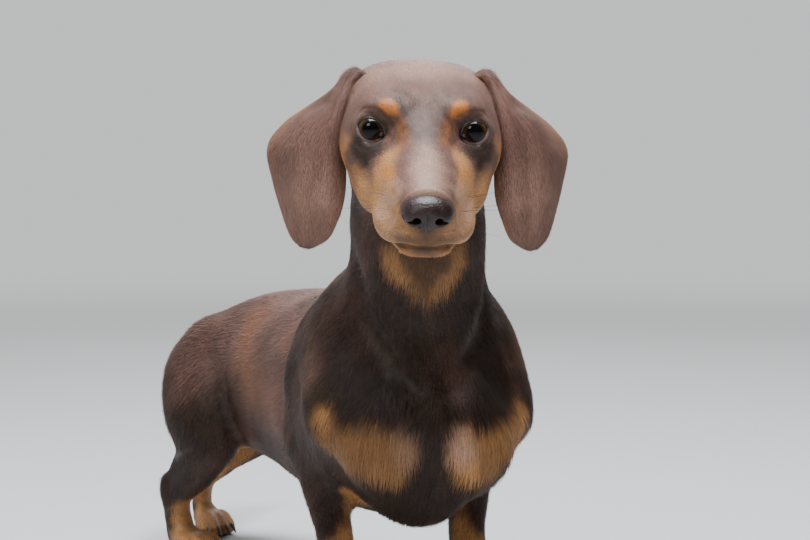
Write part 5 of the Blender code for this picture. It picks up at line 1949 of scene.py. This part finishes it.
@dataclass
class Whiskers:
    """Whiskers of the muzzle, brows and chin, and the lashes of the upper lids."""

    form: DogForm
    width: float = 0.2
    lash: float = 2.6
    stands_out: float = 0.35

    def settled(self, p: Points) -> tuple[Points, Points]:
        """Places of the head's axes put on the skin, and the normals there, in the dog's space."""
        q = self.form.stance.from_head(p)
        near = Surface(q, np.zeros((0, 3), int))
        near.settled(self.form.skin, np.ones(len(q), bool), 3)
        d = self.form.skin(near.points)
        slope = np.stack([self.form.skin(near.points + np.eye(3)[i] * 0.3) - d for i in range(3)], 1)
        return near.points, unit(slope)

    def roots(self) -> Roots:
        """Where the whiskers stand."""
        spots, ways, lengths = [], [], []
        rng = np.random.default_rng(SEED)
        for hand in Hand:
            for row, (up, ahead) in enumerate(((-17, 58), (-21, 60), (-25.5, 60), (-29.5, 58))):
                for k in range(row % 2, 4, 2):
                    spots.append((hand * (16 + 1.6 * k), ahead - 6.5 * k - row, up + 0.5 * k))
                    ways.append((hand * (1.0 + 0.1 * k), -0.15 - 0.28 * k, -0.25 - 0.12 * row + 0.1 * k))
                    lengths.append(15 + 3.2 * k + rng.uniform(-2, 2))
            for k in range(2):
                spots.append((hand * (17 + 4 * k), 5 - 2 * k, 14))
                ways.append((hand * (0.3 + 0.3 * k), 0.9, 0.55))
                lengths.append(8 + rng.uniform(-1, 1))
            spots.append((hand * 36, 2, -22))
            ways.append((hand, -0.3, -0.4))
            lengths.append(14)
        for k in range(-2, 3):
            spots.append((3.5 * k, 56 - abs(k), -44))
            ways.append((0.3 * k, 0.35, -1.0))
            lengths.append(9)
        points, normal = self.settled(np.array(spots, float))
        lie = unit(np.array(ways, float)) @ self.form.stance.head.T
        return self.made(points, normal, unit(lie + self.stands_out * normal), np.array(lengths))

    def lashes(self) -> Roots:
        """Where the lashes stand, along the upper lids."""
        points, ways = [], []
        for hand in Hand:
            ring, height = LIDS.outline(hand, 88, 0.95)
            axes = LIDS.axes(hand)
            for spot, h in zip(ring, height):
                if h > 0.18:
                    away = unit(spot - LIDS.centre(hand))
                    points.append(spot)
                    ways.append(unit(0.7 * away + 0.75 * axes[:, 1] + 0.25 * hand * axes[:, 0]))
        lie = np.array(ways) @ self.form.stance.head.T
        points = self.form.stance.from_head(np.array(points))
        return self.made(points, unit(lie + (0, 0, 0.6)), lie, np.full(len(lie), self.lash))

    def made(self, points: Points, up: Points, lie: Points, length: Points) -> Roots:
        """Roots of thin hairs from their places and directions."""
        n = len(points)
        size = np.column_stack([np.full(n, self.width), length, np.full(n, self.width)])
        return Roots.plain(points, flat_on(lie, up), lie, size)


# Finishes

class Shader(Nodes):
    """The nodes of one material."""

    def __init__(self, name: str) -> None:
        """Starts a material with a Principled shader."""
        self.material = bpy.data.materials.new(name)
        self.material.use_nodes = True
        super().__init__(self.material.node_tree)
        self.principled = self.tree.nodes["Principled BSDF"]

    def set(self, **values: Wire | float | tuple) -> None:
        """Sets sockets of the Principled shader, named with _ for a blank."""
        for name, value in values.items():
            self.join(self.principled.inputs[name.replace("_", " ")], value)

    def attribute(self, name: str, out: str = "Vector") -> Wire:
        """An attribute of the mesh."""
        return self.wire("ShaderNodeAttribute", {"attribute_name": name}, None, out)

    def mix(self, a: Wire | tuple, b: Wire | tuple, share: Wire | float) -> Wire:
        """Colour a, with a share of colour b."""
        return self.wire("ShaderNodeMix", {"data_type": "RGBA"}, {0: share, 6: a, 7: b}, 2)

    def place(self) -> Wire:
        """Object coordinates."""
        return self.wire("ShaderNodeTexCoord", out="Object")

    def noise(self, scale: float, detail: float = 2.0, at: Wire | None = None) -> Wire:
        """A cloudy pattern from 0 to 1."""
        sockets = {"Vector": at or self.place(), "Scale": scale, "Detail": detail}
        return self.wire("ShaderNodeTexNoise", None, sockets)

    def bump(self, height: Wire, depth: float, strength: float) -> Wire:
        """A normal from a pattern of heights, depth metres deep."""
        return self.wire("ShaderNodeBump", None, {"Height": height, "Distance": depth, "Strength": strength})


@dataclass(frozen=True)
class CoatFinish:
    """Short glossy hair, chocolate with the tones of the markings and with the painted shade and sheen that
    the same attributes carry.
    """

    name: str
    dark: tuple = (0.012, 0.0062, 0.005)
    light: tuple = (0.215, 0.113, 0.09)
    tan: tuple = (0.54, 0.262, 0.098)
    pale: tuple = (0.50, 0.31, 0.225)
    # charcoal, pale and rust also paint shade, sheen and highlights where their channels carry them
    charcoal: tuple = (0.016, 0.0125, 0.0135)
    rust: tuple = (0.60, 0.20, 0.042)
    roughness: float = 0.47
    gloss: float = 0.2
    # how far the skin under the coat is darkened: painted shade beneath the tufts
    under: float = 0.75
    bumped: bool = False

    def material(self) -> Material:
        """The finish as a material."""
        shader = Shader(self.name)
        tan, pale, dark = shader.parts(shader.attribute("marks", "Color"))
        strand, warm, broad = shader.parts(shader.attribute("grain"))
        _, _, tip = shader.parts(shader.attribute("patch"))
        fine = shader.noise(900, 2)
        # the broad level holds random tone and painted shade and sheen
        colour = shader.mix(self.dark, self.light, broad + fine * 0.4 - 0.2)
        colour = shader.mix(colour, self.tan, tan)
        colour = shader.mix(colour, self.pale, pale * (0.75 + fine * 0.3))
        colour = shader.mix(colour, self.charcoal, dark)
        colour = shader.mix(colour, self.rust, shader.attribute("marks", "Alpha"))
        light = (0.8 + strand * 0.36) * (0.84 + tip * 0.34)
        if self.bumped:
            light = (fine * 0.5 + 0.5) * self.under
        shader.set(Base_Color=shader.mix(shader.scaled(colour, light), (0.5, 0.27, 0.13), warm * 0.05),
                   Roughness=fine * 0.14 + self.roughness - 0.07, Specular_IOR_Level=self.gloss)
        if self.bumped:
            shader.set(Normal=shader.bump(shader.noise(1400, 3), 0.0002, 0.15))
        return shader.material


@dataclass(frozen=True)
class LeatherFinish:
    """Pebbled moist leather of the nose."""

    colour: tuple = (0.012, 0.0055, 0.0045)
    high: tuple = (0.052, 0.028, 0.026)

    def material(self) -> Material:
        """The finish as a material."""
        shader = Shader("nose_leather_finish")
        pebbles = shader.wire("ShaderNodeTexVoronoi", {"feature": "SMOOTH_F1"},
                              {"Vector": shader.place(), "Scale": 950.0, "Smoothness": 0.4})
        broad = shader.noise(160, 3)
        shader.set(Base_Color=shader.mix(self.colour, self.high, (broad - 0.35) * 1.1 + pebbles * 0.15),
                   Roughness=broad * 0.2 + pebbles * 0.2 + 0.2, Specular_IOR_Level=0.28, Coat_Weight=0.15,
                   Coat_Roughness=0.25, Normal=shader.bump(1 - pebbles, 0.0003, 0.75))
        return shader.material


@dataclass(frozen=True)
class EyeFinish:
    """A dark olive-brown iris under a wet cornea."""

    pupil: float = 0.4
    iris: float = 0.76
    dark: tuple = (0.014, 0.007, 0.004)
    brown: tuple = (0.085, 0.05, 0.018)
    white: tuple = (0.16, 0.1, 0.08)

    def material(self) -> Material:
        """The finish as a material."""
        shader = Shader("eye_finish")
        x, y, _ = shader.parts(shader.attribute("ball"))
        out = shader.wire("ShaderNodeMath", {"operation": "SQRT"}, {0: x * x + y * y})
        flat = shader.wire("ShaderNodeCombineXYZ", None, {0: x, 1: y})
        ray = shader.wire("ShaderNodeVectorMath", {"operation": "NORMALIZE"}, {0: flat})
        fibres = shader.noise(9, 4, at=ray)
        colour = shader.mix(self.dark, self.brown, fibres.smoothly(0.1, 0.8) * out.smoothly(self.pupil, 0.62))
        colour = shader.mix(colour, self.dark, out.smoothly(self.iris - 0.12, self.iris))
        colour = shader.mix(colour, self.white, out.smoothly(self.iris + 0.02, self.iris + 0.1))
        colour = shader.mix((0.003, 0.003, 0.004), colour, out.smoothly(self.pupil - 0.03, self.pupil + 0.03))
        shader.set(Base_Color=colour, Roughness=0.4, Coat_Weight=1.0, Coat_Roughness=0.015, Coat_IOR=1.28,
                   Specular_IOR_Level=0.0)
        return shader.material


@dataclass(frozen=True)
class RimFinish:
    """The wet hairless edge of the lids: dark above, mauve below."""

    upper: tuple = (0.016, 0.011, 0.012)
    lower: tuple = (0.12, 0.07, 0.07)

    def material(self) -> Material:
        """The finish as a material."""
        shader = Shader("lid_finish")
        height = shader.attribute("height", "Fac")
        cloud = shader.noise(700, 2)
        below = (height + cloud * 0.4).smoothly(0.05, -0.35)
        shader.set(Base_Color=shader.mix(self.upper, self.lower, below), Roughness=cloud * 0.2 + 0.22,
                   Coat_Weight=0.5, Coat_Roughness=0.12)
        return shader.material


@dataclass(frozen=True)
class HornFinish:
    """Dark brown horn, paler at its tip, with fine lengthwise ridges."""

    dark: tuple = (0.028, 0.017, 0.012)
    pale: tuple = (0.13, 0.085, 0.06)

    def material(self) -> Material:
        """The finish as a material."""
        shader = Shader("claw_finish")
        around, _, along = shader.parts(shader.attribute("patch"))
        spot = shader.wire("ShaderNodeCombineXYZ", None, {0: around, 1: along * 0.08})
        ridges = shader.noise(14, 2, at=spot)
        cloud = shader.noise(400, 3)
        shader.set(Base_Color=shader.mix(self.dark, self.pale, along * 0.45 + cloud * 0.5 - 0.2),
                   Roughness=cloud * 0.2 + 0.3, Normal=shader.bump(ridges, 0.0002, 0.5))
        return shader.material


@dataclass(frozen=True)
class WhiskerFinish:
    """A stiff dark hair with a paler tip."""

    name: str
    root: tuple = (0.02, 0.014, 0.012)
    tip: tuple = (0.09, 0.07, 0.06)

    def material(self) -> Material:
        """The finish as a material."""
        shader = Shader(self.name)
        _, _, along = shader.parts(shader.attribute("patch"))
        cloud = shader.noise(300, 2)
        shader.set(Base_Color=shader.mix(self.root, self.tip, along * 0.8 + cloud * 0.2), Roughness=0.5,
                   Specular_IOR_Level=0.2)
        return shader.material


# The room

@dataclass
class Studio:
    """A pale floor that runs into a pale room, soft lights and the camera."""

    shop: Workshop
    camera_from: tuple = (-681.4, -1452.9, 258.0)
    look_yaw: float = -25.0
    look_down: float = 2.77
    lens: float = 130.67
    floor_radius: float = 9.0
    paper: tuple = (0.5, 0.5, 0.495)
    world: tuple = (0.92, 0.93, 0.94)
    world_strength: float = 0.84
    world_front: float = 0.05
    lights: tuple = (("sky", (-0.1, -0.35, 1.9), 1.1, 105, (0.92, 0.95, 1.0)),
                     ("front", (-1.9, -1.7, 1.7), 0.9, 24, (1.0, 0.985, 0.96)),
                     ("back", (0.9, 1.5, 1.2), 1.0, 14, (0.95, 0.97, 1.0)))
    lit: tuple = (0.0, 0.0, 0.15)

    def camera(self) -> None:
        """The camera of the photograph's view."""
        data = bpy.data.cameras.new("camera")
        data.lens, data.sensor_width, data.sensor_fit = self.lens, 36.0, "HORIZONTAL"
        data.clip_start, data.clip_end = 0.05, 60.0
        camera = linked("camera", data)
        camera.location = Vector(self.shop.placed(np.array(self.camera_from)))
        yaw, down = math.radians(self.look_yaw), math.radians(self.look_down)
        way = Vector((-math.sin(yaw) * math.cos(down), math.cos(yaw) * math.cos(down), -math.sin(down)))
        camera.rotation_euler = way.to_track_quat("-Z", "Y").to_euler()
        bpy.context.scene.camera = camera

    def floor(self) -> None:
        """A wide disc that fades into the room."""
        shape = bmesh.new()
        bmesh.ops.create_circle(shape, cap_ends=True, segments=96, radius=self.floor_radius)
        mesh = bpy.data.meshes.new("floor")
        shape.to_mesh(mesh)
        shape.free()
        floor = linked("floor", mesh)
        shader = Shader("floor_finish")
        cloud = shader.noise(3, 3)
        shader.set(Base_Color=shader.mix(self.paper, tuple(0.97 * c for c in self.paper), cloud),
                   Roughness=0.85, Specular_IOR_Level=0.2)
        radius = shader.wire("ShaderNodeVectorMath", {"operation": "LENGTH"}, {0: shader.place()}, "Value")
        paper = Wire(shader, shader.principled.outputs[0])
        glow = shader.wire("ShaderNodeEmission", None, {0: self.world, 1: self.world_strength})
        fade = shader.wire("ShaderNodeMixShader", None,
                           {0: radius.smoothly(0.5, 0.4 * self.floor_radius), 1: paper, 2: glow})
        shader.join(shader.tree.nodes["Material Output"].inputs[0], fade)
        mesh.materials.append(shader.material)
        floor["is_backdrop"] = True

    def light(self, name: str, place: tuple, size: float, power: float, colour: tuple) -> None:
        """A square soft light that faces the dog's chest."""
        data = bpy.data.lights.new(name, "AREA")
        data.shape, data.size, data.energy, data.color = "SQUARE", size, power, colour
        lamp = linked(name, data)
        lamp.location = place
        lamp.rotation_euler = (Vector(self.lit) - Vector(place)).to_track_quat("-Z", "Y").to_euler()

    def build(self) -> None:
        """Everything that is not the dog."""
        world = bpy.data.worlds.new("room")
        bpy.context.scene.world = world
        world.use_nodes = True
        nodes = Nodes(world.node_tree)
        back = nodes.tree.nodes["Background"]
        back.inputs[0].default_value = (*self.world, 1.0)
        _, rear, _ = nodes.parts(nodes.wire("ShaderNodeTexCoord", out="Generated"))
        nodes.join(back.inputs[1], nodes.wire(
            "ShaderNodeMapRange", {"interpolation_type": "SMOOTHSTEP"},
            {0: rear, 1: -0.1, 2: 0.55, 3: self.world_front, 4: self.world_strength}))
        self.floor()
        self.camera()
        for light in self.lights:
            self.light(*light)


# The dog

FLESH = ("head", "lower_jaw", "neck", "chest", "abdomen", "rump", "tail",
         *(f"{part}_{hand.word}" for hand in Hand
           for part in ("upper_arm", "forearm", "fore_paw", "thigh", "hock", "hind_paw")))


def main() -> None:
    """Builds the dog and the room."""
    logging.basicConfig(level=logging.INFO, format="%(name)s: %(message)s")
    cad_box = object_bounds()
    stance = Stance()
    shop = Workshop(stance)
    form = DogForm(stance)
    coat = Coat(form)
    fur = Fur(coat)
    nose = NoseLeather(stance)
    under, hair = CoatFinish("skin_finish", bumped=True).material(), CoatFinish("coat_finish").material()

    surface = Skin(form, coat).surface()
    mesh = shop.mesh("skin", surface.points, surface.triangles)
    store(mesh, "marks", coat.marks(surface.points))
    store(mesh, "grain", coat.grain(surface.points, SEED, surface.shares))
    shop.piece("skin", mesh, under, FLESH)
    tufts = Growth(ShapeKind.TUFT)
    for seed, stretch in enumerate(STRETCHES, 100):
        roots = fur.on_skin(surface, stretch, nose, seed)
        shop.piece(stretch.name, tufts.grown(stretch.name, roots, hair, shop), hair)

    for hand in Hand:
        ear = Ear(stance, hand)
        leaf = ear.surface()
        mesh = shop.mesh(f"ear_skin_{hand.word}", leaf.points, leaf.triangles)
        corners = np.repeat(np.arange(len(leaf.points))[:, None], 3, axis=1)
        store(mesh, "marks", ear.marks(leaf.points, corners, np.full(corners.shape, 1 / 3)))
        store(mesh, "grain", coat.grain(leaf.points, SEED))
        shop.piece(f"ear_skin_{hand.word}", mesh, under, (f"ear_{hand.word}",))
        name = f"coat_ear_{hand.word}"
        shop.piece(name, tufts.grown(name, fur.on_ear(ear, leaf, 140 + hand), hair, shop), hair)

    eye_finish, rim_finish = EyeFinish().material(), RimFinish().material()
    for hand in Hand:
        eye, rims = Eye(stance, hand).mesh(shop), LidRims(stance, hand).mesh(shop)
        shop.piece(f"eyeball_{hand.word}", eye, eye_finish, (f"eye_{hand.word}",))
        shop.piece(f"lid_rims_{hand.word}", rims, rim_finish)
    shop.piece("nose_leather", nose.mesh(shop), LeatherFinish().material(), ("nose",))
    horn = HornFinish().material()
    claws = Claws(stance)
    mesh = Growth(ShapeKind.CLAW, jitter=0.0, turn=0.02).grown("claws", claws.roots(), horn, shop)
    shop.piece("claws", mesh, horn, claws.nodes())
    whiskers, stiff = Whiskers(form), WhiskerFinish("whisker_finish").material()
    mesh = Growth(ShapeKind.WHISKER, jitter=0.12, turn=0.06).grown("whiskers", whiskers.roots(), stiff, shop)
    shop.piece("whiskers", mesh, stiff)
    mesh = Growth(ShapeKind.WHISKER, jitter=0.2, turn=0.06).grown("lashes", whiskers.lashes(), stiff, shop)
    shop.piece("lashes", mesh, stiff)

    Studio(shop).build()
    boxes = {"cad": cad_box, "visual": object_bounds()}
    {name: [[float(v) for v in corner] for corner in box] for name, box in boxes.items()}


if __name__ == "__main__":
    main()
